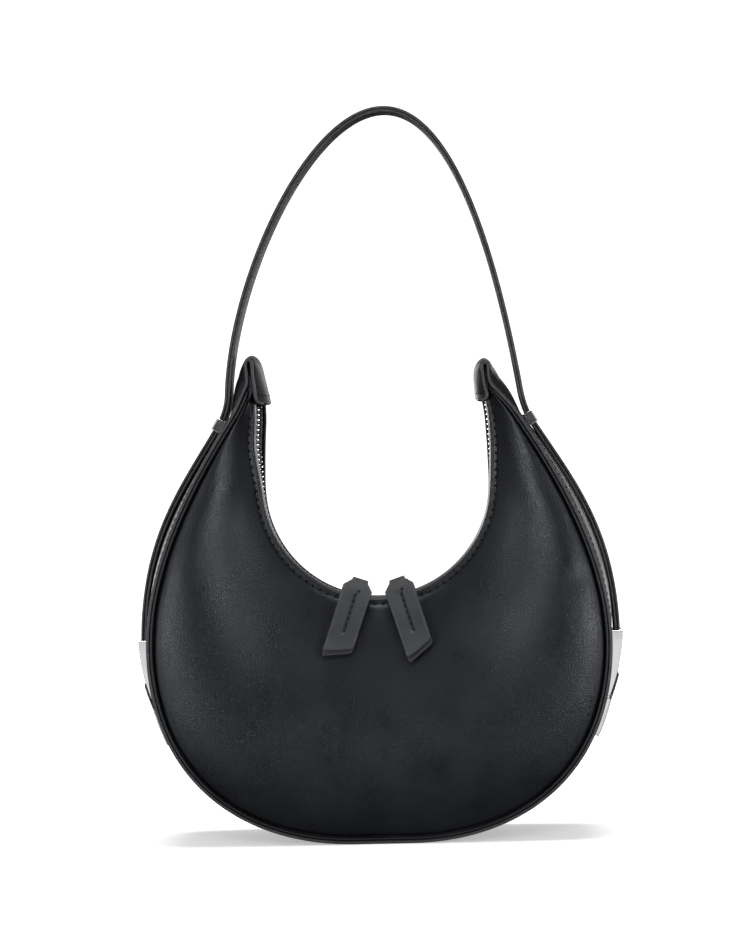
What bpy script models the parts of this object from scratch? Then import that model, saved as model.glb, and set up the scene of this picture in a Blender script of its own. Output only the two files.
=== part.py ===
"""Crescent shoulder bag in black leather, built from its separate pieces.

Units are metres and +Z is up. The origin is on the floor under the middle of
the bag, the front panel faces -Y, and the strap arch stands up over the mouth.

The outline of the bag is drawn in the XZ plane. The seam path is the outer
face of the gusset band along its front and back edges. The zip path is a half
circle with two straight walls above it. Panels are lofted from the zip path
out to the seam path, and the band is swept along the seam path.
"""

from math import atan2, cos, pi, radians, sin

import bmesh
import bpy
import numpy as np
from mathutils import Matrix, Vector

# Bag outline, along the outer face of the gusset band.
BAG_HALF_WIDTH = 0.1176
WIDEST_HEIGHT = 0.1000
BASE_FLAT_HALF = 0.0140
BASE_HANDLE = 0.0590
FLANK_HANDLE_DOWN = 0.0650
FLANK_HANDLE_UP = 0.0500
SHOULDER_HANDLE = 0.0380
HORN_NECK_X = 0.0624
HORN_NECK_HEIGHT = 0.2320
HORN_LEAN = radians(35.0)

# Horn tip, where the band turns over and comes down as a tab.
TIP_X = 0.0594
TIP_TOP = 0.2462
TAB_BOTTOM = 0.2236
TIP_WIDTH = 0.0150
# Places around the tip as shares of its width, from its middle, and of its height over the tab.
TIP_EDGE_SHARES = [(0.147, 0.56), (0.153, 0.80), (0.100, 0.89), (0.0, 0.925),
                   (-0.100, 0.89), (-0.153, 0.80), (-0.140, 0.56), (-0.127, 0.28), (-0.073, 0.0)]
TIP_CROWN_SHARES = [(0.373, 0.67), (0.267, 0.80), (0.127, 0.94), (-0.067, 1.0),
                    (-0.267, 0.91), (-0.387, 0.75), (-0.433, 0.56), (-0.460, 0.28), (-0.480, 0.0)]
HORN_CROWN = 0.0052
CROWN_START_HEIGHT = 0.2100
# The soft horns lean to the bag's left, and the right one sinks; both start a little below the tabs.
HORN_DRIFT_LEFT = 0.0036
HORN_DRIFT_RIGHT = 0.0022
HORN_SAG_RIGHT = 0.0036
HORN_DRIFT_BELOW_TAB = 0.0086
HORN_DRIFT_RUN = 0.0270

# Depth of the bag, from the middle plane to the seam.
BASE_HALF_DEPTH = 0.0280
TIP_HALF_DEPTH = 0.0125
DEPTH_POWER = 3

# Leather, fabric and metal thicknesses, and the gap between pieces.
GAP = 0.0003
BAND_THICK = 0.0016
WELT_THICK = 0.0013
PANEL_THICK = 0.0014
LINING_THICK = 0.0007
SEAM_RIDGE = 0.0036
BACKING_THICK = 0.0010
BACKING_WIDTH = 0.0160
BACKING_CLEARANCE = 0.0007

# Zip: a half circle about the mouth centre, with straight walls above it.
MOUTH_CENTRE_Z = 0.1805
ZIP_RADIUS = 0.0593
WALL_LEAN_IN = 0.0020
TAPE_THICK = 0.0006
TAPE_FLAT_HALF = 0.0050
TAPE_HALF_WIDTH = 0.0078
TAPE_SLOPE_DROP = 0.0019
TAPE_END_DROP = 0.0030
CHAIN_SLIT_HALF = 0.0009
CHAIN_HALF_WIDTH = 0.0029
CHAIN_HALF_HEIGHT = 0.0016
TOOTH_PITCH = 0.00508
TOOTH_DEPTH = 0.0007
STOP_LENGTH = 0.0030

# Panel shape beside the zip and over the belly.
PANEL_EDGE_Y = 0.0055
PANEL_EDGE_RAISE = 0.0020
FOLD_WIDTH = 0.0050
FOLD_DROP = 0.0034
BELLY_PUFF = 0.0080
FULL_SPAN = 0.1200
PANEL_TIP_HEIGHT = 0.2288
PANEL_TIP_HALF = 0.0006

# Sliders, their crowns, and the leather pulls on wire rings.
SLIDER_ANGLE = radians(11.5)
SLIDER_LENGTH = 0.0100
SLIDER_HALF_WIDTH = 0.0046
SLIDER_PLATE = 0.0011
SLIDER_CLEARANCE = 0.0005
SLIDER_LIP = 0.0007
SLIDER_LIP_DEPTH = 0.0009
BRIDGE_HALF = 0.0005
BRIDGE_LENGTH = 0.0030
CROWN_LENGTH = 0.0024
CROWN_HALF_WIDTH = 0.0022
CROWN_WIRE = 0.0010
CROWN_OPENING = 0.0030
RING_WIRE = 0.0011
RING_WIDTH = 0.0112
RING_REACH = 0.0068
RING_RISE = radians(30.0)
EYE_RADIUS = 0.0010
PULL_SPLAY = radians(7.0)
PULL_WIDTH = 0.0155
PULL_NECK_WIDTH = 0.0084
PULL_NECK_RUN = 0.0018
PULL_SHOULDER_RUN = 0.0060
PULL_LENGTH = 0.0455
PULL_SLANT = 0.0060
PULL_LEAF = 0.0013
PULL_LEAF_GAP = 0.0004
PULL_TOP_RUN = 0.0074
PULL_FORWARD = 0.0272
PULL_DROP = 0.0300
PULL_END_RUN = 0.0065
PULL_END_FALL = 0.0140

# Strap: a belt of two leather layers.
STRAP_WIDTH = 0.0200
STRAP_LAYER = 0.0015
STRAP_TOP_X = 0.0081
STRAP_TOP = 0.3716
STRAP_TOP_HANDLE_LEFT = 0.0380
STRAP_TOP_HANDLE_RIGHT = 0.0300
STRAP_SIDE_HANDLE_LEFT = 0.0580
STRAP_SIDE_HANDLE_RIGHT = 0.0900
STRAP_LEAN_LEFT = radians(2.5)
STRAP_LEAN_RIGHT = radians(9.0)
STRAP_SET_IN = 0.0048
STRAP_BEND_CLEARANCE = 0.0020
STRAP_BEND_HANDLE = 0.0050
TAIL_LIFT = 0.0022

# Keepers, where the belt passes a metal loop on the band.
KEEPER_BELOW_NECK = 0.0210
KEEPER_LENGTH = 0.0066
KEEPER_WALL = 0.0009
KEEPER_SIDE_GAP = 0.0005
STUD_RADIUS = 0.0012
STUD_SPACING = 0.0120
STUD_SIDES = 8

# Side fittings: a sleeve on the strap's end, hooked under an anchor plate.
SLEEVE_TOP = 0.1035
SLEEVE_SHOULDER = 0.0850
SLEEVE_FOOT_HEIGHT = 0.0705
SLEEVE_STAND_OFF = 0.0005
SLEEVE_TOP_THICK = 0.0059
SLEEVE_SHOULDER_THICK = 0.0039
SLEEVE_TONGUE_THICK = 0.0018
SLEEVE_WALL = 0.0008
SLEEVE_SOCKET_DEPTH = 0.0065
SLEEVE_SIDE_WALL = 0.0010
ANCHOR_BOTTOM = 0.0510
ANCHOR_SHOULDER = 0.0695
ANCHOR_THICK = 0.0031
ANCHOR_LIP_TOP = 0.0825
ANCHOR_LIP_THICK = 0.0008
ANCHOR_LIP_RISE = 0.0018
ANCHOR_STUD_HEIGHT = 0.0600

# Pieces inside the bag.
BASE_BOARD_HALF_LENGTH = 0.0600
BASE_BOARD_HALF_WIDTH = 0.0200
BASE_BOARD_THICK = 0.0010
POCKET_THICK = 0.0007
FILLER_BELOW_TOP = 0.0090
FILLER_WIDTH = 0.0074
FILLER_LENGTH = 0.0120
FILLER_HEIGHT = 0.0084

# How finely curves are divided.
LOWER_STEPS = 8
UPPER_STEPS = 9
MOUTH_ARC_STEPS = 9
MOUTH_WALL_STEPS = 5
DENSE_STEPS = 240
STRAP_STEPS = 28
STRAP_BEND_STEPS = 8
STRAP_END_SHARES = [0.0, 0.45, 0.75, 0.92, 0.985]
TAIL_STEPS = 14
PULL_STEPS = 10
EYE_STEPS = 6
FILLER_SEGMENTS = 12
FILLER_RINGS = 8
BAND_SHARES = [-1.0, -0.8, -0.45, 0.0, 0.45, 0.8, 1.0]
CROWN_POWER = 2.2
PUFF_POWER = 0.9
PANEL_SHARES = [0.0, 0.14, 0.30, 0.48, 0.66, 0.82, 0.93, 1.0]
# The lining's upper edge as a share of the way between two of the panel's rows.
LINING_EDGE_SHARE = 0.40
LINING_BAND_SHARES = [-0.85, -0.45, 0.0, 0.45, 0.85]
# Stations left out at each end of the linings, and on each side of the pocket's middle.
LINING_CUT_STEPS = 4
LINING_BAND_CUT_STEPS = 3
POCKET_HALF_STEPS = 4
# The pocket's upper and lower edge, each one of the panel's shares.
POCKET_TOP_SHARE = 0.30
POCKET_BOTTOM_SHARE = 0.82
FOLD_STEPS = 2
SLEEVE_STEPS = 4
SMOOTH_ANGLE = radians(40.0)

PARTS = "crescent_shoulder_bag"
CUTTERS = "cutters"

COLOURS = {
    "leather": ((0.016, 0.016, 0.018, 1.0), 0.38, 0.0),
    "band_leather": ((0.018, 0.018, 0.020, 1.0), 0.42, 0.0),
    "edge_leather": ((0.030, 0.030, 0.032, 1.0), 0.45, 0.0),
    "pull_leather": ((0.060, 0.062, 0.065, 1.0), 0.50, 0.0),
    "lining": ((0.030, 0.030, 0.034, 1.0), 0.85, 0.0),
    "board": ((0.180, 0.170, 0.150, 1.0), 0.90, 0.0),
    "tape": ((0.012, 0.012, 0.013, 1.0), 0.90, 0.0),
    "polished_steel": ((0.800, 0.800, 0.790, 1.0), 0.12, 1.0),
    "foam": ((0.200, 0.200, 0.200, 1.0), 0.95, 0.0),
}


def clear_scene():
    """Remove every object, mesh and collection that the scene starts with."""
    for obj in list(bpy.data.objects):
        bpy.data.objects.remove(obj, do_unlink=True)
    for mesh in list(bpy.data.meshes):
        bpy.data.meshes.remove(mesh)
    for collection in list(bpy.data.collections):
        bpy.data.collections.remove(collection)


def collection(name):
    """The collection of that name, made when it is first asked for."""
    found = bpy.data.collections.get(name)
    if found is None:
        found = bpy.data.collections.new(name)
        bpy.context.scene.collection.children.link(found)
    return found


def finish(name, slot):
    """A material of its own for one piece, in one of the bag's colours."""
    colour, roughness, metallic = COLOURS[slot]
    material = bpy.data.materials.new(name + "_" + slot)
    material.use_nodes = True
    shader = material.node_tree.nodes["Principled BSDF"]
    shader.inputs["Base Color"].default_value = colour
    shader.inputs["Roughness"].default_value = roughness
    shader.inputs["Metallic"].default_value = metallic
    material.diffuse_color = colour
    return material


def add_object(name, mesh, slot=None, group=PARTS):
    """Link a mesh as an object, with its own material and soft shading."""
    obj = bpy.data.objects.new(name, mesh)
    collection(group).objects.link(obj)
    if slot:
        mesh.materials.append(finish(name, slot))
        mesh.shade_smooth()
        mesh.set_sharp_from_angle(angle=SMOOTH_ANGLE)
    return obj


def set_origin(obj, point):
    """Move an object's origin to a point and leave its shape where it is."""
    place = Vector(point)
    obj.data.transform(Matrix.Translation(-place))
    obj.location = place
    return obj


# Lofts.


def mesh_from_rows(name, rows, closed_rows=False, caps=False):
    """Faces between rows of points, numbered row by row; caps close both ends of a tube."""
    rows = np.asarray(rows, float)
    count, width = rows.shape[:2]
    bm = bmesh.new()
    grid = [[bm.verts.new(point) for point in row] for row in rows]
    span = width if closed_rows else width - 1
    for i in range(count - 1):
        for j in range(span):
            k = (j + 1) % width
            bm.faces.new((grid[i][j], grid[i + 1][j], grid[i + 1][k], grid[i][k]))
    if caps:
        bm.faces.new(grid[0])
        bm.faces.new(list(reversed(grid[-1])))
    bmesh.ops.recalc_face_normals(bm, faces=bm.faces)
    mesh = bpy.data.meshes.new(name)
    bm.to_mesh(mesh)
    bm.free()
    return mesh


def settled(points):
    """Points of the soft horns, moved by their lean and sag with a smooth step of the height."""
    moved = np.array(points, float)
    share = np.clip((moved[..., 2] - (TAB_BOTTOM - HORN_DRIFT_BELOW_TAB)) / HORN_DRIFT_RUN, 0.0, 1.0)
    share = share * share * (3.0 - 2.0 * share)
    right = moved[..., 0] > 0.0
    moved[..., 0] -= share * np.where(right, HORN_DRIFT_RIGHT, HORN_DRIFT_LEFT)
    moved[..., 2] -= share * np.where(right, HORN_SAG_RIGHT, 0.0)
    return moved


def shell(name, slot, rows, thickness, start=0.0):
    """A sheet of leather or cloth: rows give its outer side, and it grows to the inner side.

    start is how far the sheet lies behind the rows.
    """
    obj = add_object(name, mesh_from_rows(name, settled(rows)), slot)
    solid = obj.modifiers.new("thickness", "SOLIDIFY")
    solid.thickness = thickness
    solid.offset = -1.0 - 2.0 * start / thickness
    solid.use_even_offset = True
    solid.use_quality_normals = True
    return obj


def bar(name, slot, rows):
    """A solid bar: each row is its closed cross-section at one station."""
    return add_object(name, mesh_from_rows(name, rows, closed_rows=True, caps=True), slot)


def prism(name, outline, low, high, slot=None, group=PARTS):
    """An outline in the XZ plane, made a solid from low to high in Y."""
    rows = [[(x, y, z) for x, z in outline] for y in (low, high)]
    return add_object(name, mesh_from_rows(name, rows, closed_rows=True, caps=True), slot, group)


def boolean(obj, other, operation):
    """Cut or join with another object, which becomes a guide."""
    other.hide_render = True
    other.display_type = "WIRE"
    cut = obj.modifiers.new(operation.lower(), "BOOLEAN")
    cut.operation = operation
    cut.solver = "EXACT"
    cut.object = other
    return obj


# Curves of the outline, all as arrays of (x, z).


def bezier(start, first, second, end, steps):
    """Points of a cubic curve, without its last one."""
    t = np.linspace(0.0, 1.0, steps, endpoint=False)[:, None]
    s = 1.0 - t
    start, first, second, end = (np.asarray(p, float) for p in (start, first, second, end))
    return s**3 * start + 3 * s * s * t * first + 3 * s * t * t * second + t**3 * end


def along(path):
    """Distance along a path at each of its points."""
    return np.concatenate([[0.0], np.cumsum(np.linalg.norm(np.diff(path, axis=0), axis=1))])


def at_distances(path, distances):
    """Points at distances along a path."""
    run = along(path)
    return np.stack([np.interp(distances, run, path[:, k]) for k in range(path.shape[1])], axis=1)


def evenly(path, steps):
    """The same path, divided into equal steps."""
    return at_distances(path, np.linspace(0.0, along(path)[-1], steps + 1))


def normals(path):
    """Unit normals of an XZ path, on the right hand of its direction."""
    slope = np.gradient(path, axis=0)
    slope /= np.linalg.norm(slope, axis=1)[:, None]
    return np.stack([slope[:, 1], -slope[:, 0]], axis=1)


def mirrored(half):
    """A path over both sides, from a half that starts on the middle plane."""
    return np.concatenate([half[:0:-1] * (-1.0, 1.0), half])


def flank_path(lower_steps, upper_steps):
    """The seam path from the middle of the base up to the neck of the right horn."""
    flat = (BASE_FLAT_HALF, 0.0)
    side = (BAG_HALF_WIDTH, WIDEST_HEIGHT)
    neck = (HORN_NECK_X, HORN_NECK_HEIGHT)
    below_neck = (neck[0] + SHOULDER_HANDLE * sin(HORN_LEAN), neck[1] - SHOULDER_HANDLE * cos(HORN_LEAN))
    lower = bezier(flat, (flat[0] + BASE_HANDLE, 0.0),
                   (side[0], side[1] - FLANK_HANDLE_DOWN), side, DENSE_STEPS)
    upper = bezier(side, (side[0], side[1] + FLANK_HANDLE_UP), below_neck, neck, DENSE_STEPS)
    lower = evenly(np.concatenate([lower, [side]]), lower_steps)
    upper = evenly(np.concatenate([upper, [neck]]), upper_steps)
    return np.concatenate([[(0.0, 0.0)], lower[:-1], upper])


def tip_points(shares):
    """Places around the horn tip, from its shares."""
    height = TIP_TOP - TAB_BOTTOM
    return np.array([(TIP_X + TIP_WIDTH * a, TAB_BOTTOM + height * b) for a, b in shares])


def half_depth(z):
    """Distance from the middle plane to the seam at a height on the flank."""
    share = np.clip(np.asarray(z) / TIP_TOP, 0.0, 1.0)
    return TIP_HALF_DEPTH + (BASE_HALF_DEPTH - TIP_HALF_DEPTH) * (1.0 - share**DEPTH_POWER)


def horn_crown(z):
    """How far the middle of the band stands out from its edges at a height."""
    share = np.clip((z - CROWN_START_HEIGHT) / (HORN_NECK_HEIGHT - CROWN_START_HEIGHT), 0.0, 1.0)
    return HORN_CROWN * share * share * (3.0 - 2.0 * share)


def mouth_point(angle, radius):
    """A point on a circle about the mouth centre, with the angle taken from straight down."""
    return np.array([radius * sin(angle), MOUTH_CENTRE_Z - radius * cos(angle)])


def mouth_path(radius, top, arc_steps=MOUTH_ARC_STEPS, wall_steps=MOUTH_WALL_STEPS):
    """Half of a line round the mouth: a quarter circle and the leaning wall above it."""
    arc = [mouth_point(a, radius) for a in np.linspace(0.0, pi / 2, arc_steps + 1)]
    rise = np.linspace(0.0, top - MOUTH_CENTRE_Z, wall_steps + 1)[1:]
    reach = TAB_BOTTOM - MOUTH_CENTRE_Z
    wall = [(radius - WALL_LEAN_IN * (r / reach) ** 2, MOUTH_CENTRE_Z + r) for r in rise]
    return np.concatenate([arc, wall])


# The gusset band and what follows it.


def band_rows(path, crown_path, depth, inset, shares, ridge):
    """Rows across the band at each station, moved inwards by inset.

    path is the edge of the band and crown_path its middle. Between them the
    band bulges by one minus the share of the half width to a power. ridge is
    how far the flat edge runs on in front of and behind the seam.
    """
    inward = -normals(path) * inset
    edge = path + inward
    crown = crown_path + inward
    across = list(shares)
    rows = []
    for (ex, ez), (cx, cz), w in zip(edge, crown, depth):
        bulge = [1.0 - abs(v) ** CROWN_POWER for v in across]
        row = [(ex + (cx - ex) * b, v * w, ez + (cz - ez) * b) for v, b in zip(across, bulge)]
        if ridge:
            row = [(ex, -w - ridge, ez)] + row + [(ex, w + ridge, ez)]
        rows.append(row)
    return rows


def flank_crown(path):
    """The middle of the band along the flank."""
    return path + normals(path) * horn_crown(path[:, 1])[:, None]


def band_paths():
    """Edge, middle and depth of the whole band, from tab to tab."""
    flank = flank_path(LOWER_STEPS, UPPER_STEPS)
    edge = np.concatenate([flank, tip_points(TIP_EDGE_SHARES)])
    crown = np.concatenate([flank_crown(flank), tip_points(TIP_CROWN_SHARES)])
    neck_depth = half_depth(HORN_NECK_HEIGHT)
    tip_depth = np.linspace(neck_depth, TIP_HALF_DEPTH, len(TIP_EDGE_SHARES))
    depth = np.concatenate([half_depth(flank[:, 1]), tip_depth])
    return mirrored(edge), mirrored(crown), np.concatenate([depth[:0:-1], depth])


def make_gusset_band():
    """The band round the bag, over both horn tips and down their inner sides."""
    edge, crown, depth = band_paths()
    rows = band_rows(edge, crown, depth, 0.0, BAND_SHARES, SEAM_RIDGE)
    return shell("gusset_band", "band_leather", rows, BAND_THICK)


def make_edge_welt(name, side):
    """A flat welt sewn into the seam, inside the band's raised edge."""
    flank = flank_path(LOWER_STEPS, UPPER_STEPS)
    half = flank[:-1]
    path = mirrored(half)
    out = normals(path)
    near = path - out * (BAND_THICK + GAP)
    far = near - out * WELT_THICK
    depth = half_depth(path[:, 1])
    rows = []
    for (ax, az), (bx, bz), w in zip(near, far, depth):
        low, high = side * (w + GAP), side * (w + SEAM_RIDGE)
        rows.append([(ax, low, az), (ax, high, az), (bx, high, bz), (bx, low, bz)])
    return bar(name, "edge_leather", settled(rows))


# Panels.


def panel_seam_inset():
    """Distance from the band's outer face to the panel's edge."""
    return BAND_THICK + WELT_THICK + 2 * GAP


def panel_lines():
    """Mouth and seam points of the right half of a panel, station by station.

    Below the mouth centre, the stations are rays from that centre. Above it,
    they share out what is left of both lines up to the panel's tip.
    """
    radius = ZIP_RADIUS - PANEL_EDGE_RAISE
    mouth = mouth_path(radius, TAB_BOTTOM - GAP)
    dense = flank_path(DENSE_STEPS, DENSE_STEPS)
    seam = dense - normals(dense) * panel_seam_inset()
    run = along(seam)
    ray = np.arctan2(seam[:, 0], MOUTH_CENTRE_Z - seam[:, 1])
    angles = np.linspace(0.0, pi / 2, MOUTH_ARC_STEPS + 1)
    lower = np.interp(angles, ray, run)
    end = np.interp(PANEL_TIP_HEIGHT, seam[run > lower[-1]][:, 1], run[run > lower[-1]])
    tip_steps = 2
    total = MOUTH_WALL_STEPS + tip_steps
    upper = lower[-1] + (end - lower[-1]) * np.linspace(0.0, 1.0, total + 1)[1:]
    tip = at_distances(seam, [end])[0]
    inner_tip = (tip[0] - 2 * PANEL_TIP_HALF, tip[1])
    behind_tab = TIP_X + TIP_WIDTH * TIP_EDGE_SHARES[-1][0] + BAND_THICK + GAP
    under = (behind_tab, TAB_BOTTOM + GAP)
    mouth = np.concatenate([mouth, [under, inner_tip]])
    return mouth, at_distances(seam, np.concatenate([lower, upper]))


def panel_profile(mouth, seam, w, shares, edge_y):
    """Points across a panel, from its zip edge over the fold and belly to the seam.

    The height over the middle plane runs from the fold's depth to the seam's
    depth as a quarter sine, plus a puff that is zero at both ends.
    """
    span = np.linalg.norm(seam - mouth)
    way = (seam - mouth) / span
    fold = min(FOLD_DROP, span / 4)
    fold_y = min(edge_y + FOLD_WIDTH, w)
    points = [(mouth, edge_y), (mouth + way * fold / 4, (edge_y + fold_y) / 2)]
    start = mouth + way * fold
    puff = BELLY_PUFF * (span / FULL_SPAN)
    for t in shares:
        place = start + (seam - start) * t
        rise = sin(t * pi / 2)
        swell = (4.0 * t * (1.0 - t)) ** PUFF_POWER
        points.append((place, fold_y + (w - fold_y) * rise + puff * swell))
    return points


def panel_rows(side, shares=PANEL_SHARES):
    """Rows of the outer face of a panel over both halves."""
    mouth, seam = panel_lines()
    half = []
    for m, s in zip(mouth, seam):
        profile = panel_profile(m, s, float(half_depth(s[1])), shares, PANEL_EDGE_Y)
        half.append([(p[0], side * y, p[1]) for p, y in profile])
    half = np.array(half)
    left = half[:0:-1] * (-1.0, 1.0, 1.0)
    rows = np.concatenate([left, half])
    return rows if side < 0 else rows[::-1]


def make_panel(name, side):
    """A crescent panel, puffed over the belly."""
    return shell(name, "leather", panel_rows(side), PANEL_THICK)


# Pieces inside the bag.


def make_lining_panel(name, side):
    """Lining behind a panel, from below the zip tape to beside the seam."""
    rows = panel_rows(side)[LINING_CUT_STEPS:-LINING_CUT_STEPS]
    above, below = rows[:, FOLD_STEPS], rows[:, FOLD_STEPS + 1]
    edge = above + (below - above) * LINING_EDGE_SHARE
    inside = np.concatenate([edge[:, None], rows[:, FOLD_STEPS + 1:-1]], axis=1)
    return shell(name, "lining", inside, LINING_THICK, PANEL_THICK + GAP)


def make_inner_pocket():
    """A slip pocket of lining cloth on the back lining, stitched on at its edges."""
    rows = panel_rows(1.0)
    middle = len(rows) // 2
    low, high = middle - POCKET_HALF_STEPS, middle + POCKET_HALF_STEPS
    top = FOLD_STEPS + PANEL_SHARES.index(POCKET_TOP_SHARE)
    bottom = FOLD_STEPS + PANEL_SHARES.index(POCKET_BOTTOM_SHARE)
    patch = rows[low:high + 1, top:bottom + 1]
    return shell("inner_pocket", "lining", patch, POCKET_THICK, PANEL_THICK + LINING_THICK + 2 * GAP)


def make_lining_gusset():
    """Lining inside the band, over the backing plates, up to the horns."""
    flank = flank_path(LOWER_STEPS, UPPER_STEPS)[:-LINING_BAND_CUT_STEPS]
    path = mirrored(flank)
    crown = mirrored(flank_crown(flank))
    start = BAND_THICK + BACKING_CLEARANCE + BACKING_THICK + GAP
    rows = band_rows(path, crown, half_depth(path[:, 1]), 0.0, LINING_BAND_SHARES, 0.0)
    return shell("lining_gusset", "lining", rows, LINING_THICK, start)


def make_base_board():
    """A stiff board that keeps the base flat, between band and lining."""
    flank = flank_path(LOWER_STEPS, UPPER_STEPS)
    half = flank[flank[:, 0] < BASE_BOARD_HALF_LENGTH]
    half = half[half[:, 1] < WIDEST_HEIGHT / 2]
    path = mirrored(half)
    rows = [[(x, y, z) for y in (-BASE_BOARD_HALF_WIDTH, BASE_BOARD_HALF_WIDTH)] for x, z in path]
    return shell("base_board", "board", rows, BASE_BOARD_THICK, BAND_THICK + GAP)


def make_horn_filler(name, side):
    """A foam plug that keeps the horn's tip round."""
    bm = bmesh.new()
    bmesh.ops.create_uvsphere(bm, u_segments=FILLER_SEGMENTS, v_segments=FILLER_RINGS, radius=1.0)
    size = Matrix.Diagonal((FILLER_WIDTH / 2, FILLER_LENGTH / 2, FILLER_HEIGHT / 2, 1.0))
    place = Matrix.Translation(settled((side * TIP_X, 0.0, TIP_TOP - FILLER_BELOW_TOP)))
    bmesh.ops.transform(bm, matrix=place @ size, verts=bm.verts)
    mesh = bpy.data.meshes.new(name)
    bm.to_mesh(mesh)
    bm.free()
    return add_object(name, mesh, "foam")


# Zip.


def swept_section(name, slot, path, section, side):
    """A cross-section carried along the mouth.

    section holds (y, r) points: y is the distance from the middle plane and
    r the distance from the path, away from the middle of the mouth.
    """
    out = normals(path)
    rows = [[(x + nx * r, side * y, z + nz * r) for y, r in section]
            for (x, z), (nx, nz) in zip(path, out)]
    return bar(name, slot, settled(rows))


def make_zip_tape(name, side):
    """One half of the zip's cloth tape, flat beside the chain and sloped under the panel."""
    half = TAPE_THICK / 2
    inner = CHAIN_HALF_WIDTH + GAP
    section = [(inner, -half), (TAPE_FLAT_HALF, -half), (TAPE_HALF_WIDTH, TAPE_SLOPE_DROP - half),
               (TAPE_HALF_WIDTH, TAPE_SLOPE_DROP + half), (TAPE_FLAT_HALF, half), (inner, half)]
    path = mirrored(mouth_path(ZIP_RADIUS, TAB_BOTTOM - TAPE_END_DROP))
    return swept_section(name, "tape", path, section, side)


def make_zip_chain(name, side):
    """One side of the metal chain: a bead along the tape's edge with a tooth at each pitch."""
    path = mirrored(mouth_path(ZIP_RADIUS, TAB_BOTTOM - GAP, DENSE_STEPS, DENSE_STEPS))
    teeth = int(along(path)[-1] / TOOTH_PITCH)
    path = evenly(path, 2 * teeth)
    out = normals(path)
    rows = []
    for i, ((x, z), (nx, nz)) in enumerate(zip(path, out)):
        top = -CHAIN_HALF_HEIGHT + (TOOTH_DEPTH if i % 2 else 0.0)
        section = [(CHAIN_SLIT_HALF, top), (CHAIN_HALF_WIDTH, top),
                   (CHAIN_HALF_WIDTH, CHAIN_HALF_HEIGHT), (CHAIN_SLIT_HALF, CHAIN_HALF_HEIGHT)]
        rows.append([(x + nx * r, side * y, z + nz * r) for y, r in section])
    return bar(name, "polished_steel", settled(rows))


def box(name, size, place, slot=None, group=PARTS):
    """A box of a size, with its middle at a place."""
    bm = bmesh.new()
    bmesh.ops.create_cube(bm, size=1.0)
    matrix = Matrix.Translation(place) @ Matrix.Diagonal((*size, 1.0))
    bmesh.ops.transform(bm, matrix=matrix, verts=bm.verts)
    mesh = bpy.data.meshes.new(name)
    bm.to_mesh(mesh)
    bm.free()
    return add_object(name, mesh, slot, group)


def make_zip_stop(name, side):
    """A metal stop over both ends of the chain, under the tab."""
    end = mouth_path(ZIP_RADIUS, TAB_BOTTOM - GAP)[-1]
    size = (2 * CHAIN_HALF_HEIGHT, 2 * CHAIN_HALF_WIDTH, STOP_LENGTH)
    x, _, z = settled((side * end[0], 0.0, end[1]))
    return box(name, size, (x, 0.0, z + GAP + STOP_LENGTH / 2), "polished_steel")


def slider_axis(name, side):
    """An empty on the mouth's centre, turned so that its -Z runs to the slider."""
    axis = bpy.data.objects.new(name + "_axis", None)
    collection(PARTS).objects.link(axis)
    axis.location = (0.0, 0.0, MOUTH_CENTRE_Z)
    axis.rotation_euler = (0.0, -side * SLIDER_ANGLE, 0.0)
    return axis


def under(parent, obj):
    """Parent an object whose shape is drawn in the parent's own frame."""
    obj.parent = parent
    return obj


def slider_heights():
    """Heights over the zip line of a slider's plate, crown opening and crown top."""
    low = CHAIN_HALF_HEIGHT + SLIDER_CLEARANCE
    plate = low + SLIDER_PLATE
    opening = plate + CROWN_OPENING
    return low, plate, opening, opening + CROWN_WIRE


def make_slider(name, side, axis):
    """Two plates with turned-in lips, joined by a bridge at the nose, which faces the middle."""
    low, plate, _, _ = slider_heights()
    lip_in = SLIDER_HALF_WIDTH - SLIDER_LIP
    lip_low = low - SLIDER_LIP_DEPTH
    quarter = [(BRIDGE_HALF, low), (lip_in, low), (lip_in, lip_low),
               (SLIDER_HALF_WIDTH, lip_low), (SLIDER_HALF_WIDTH, plate)]
    outline = [(-y, n) for y, n in reversed(quarter)] + [(-y, -n) for y, n in quarter]
    outline = outline + [(y, -n) for y, n in reversed(quarter)] + quarter
    half = SLIDER_LENGTH / 2
    rows = [[(x, y, n - ZIP_RADIUS) for y, n in outline] for x in (-half, half)]
    slider = under(axis, bar(name, "polished_steel", rows))
    size = (2 * SLIDER_LENGTH - BRIDGE_LENGTH, 2 * lip_in - SLIDER_LIP, 2 * low)
    middle = (side * (SLIDER_LENGTH + BRIDGE_LENGTH) / 2, 0.0, -ZIP_RADIUS)
    throat = under(axis, box(name + "_throat", size, middle, group=CUTTERS))
    return boolean(slider, throat, "DIFFERENCE")


def make_crown(name, axis):
    """The staple on a slider that its ring passes through."""
    _, plate, opening, top = slider_heights()
    foot = plate + GAP
    inner = CROWN_HALF_WIDTH - CROWN_WIRE
    outline = [(-CROWN_HALF_WIDTH, foot), (-inner, foot), (-inner, opening), (inner, opening),
               (inner, foot), (CROWN_HALF_WIDTH, foot), (CROWN_HALF_WIDTH, top), (-CROWN_HALF_WIDTH, top)]
    half = CROWN_LENGTH / 2
    rows = [[(x, y, n - ZIP_RADIUS) for y, n in outline] for x in (-half, half)]
    return under(axis, bar(name, "polished_steel", rows))


def ring_height():
    """Height of the ring's lower bar over the zip line."""
    _, _, opening, _ = slider_heights()
    return opening - GAP - RING_WIRE


def pull_pivot(side):
    """World place of the axis that a ring and its pull swing about."""
    x, z = mouth_point(side * SLIDER_ANGLE, ZIP_RADIUS - ring_height())
    return Vector((x, 0.0, z))


def place_on_pivot(obj, side):
    """Put a piece drawn about its own origin on the ring's axis, splayed outwards."""
    obj.location = pull_pivot(side)
    obj.rotation_euler = (0.0, -side * (SLIDER_ANGLE + PULL_SPLAY), 0.0)
    return obj


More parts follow.
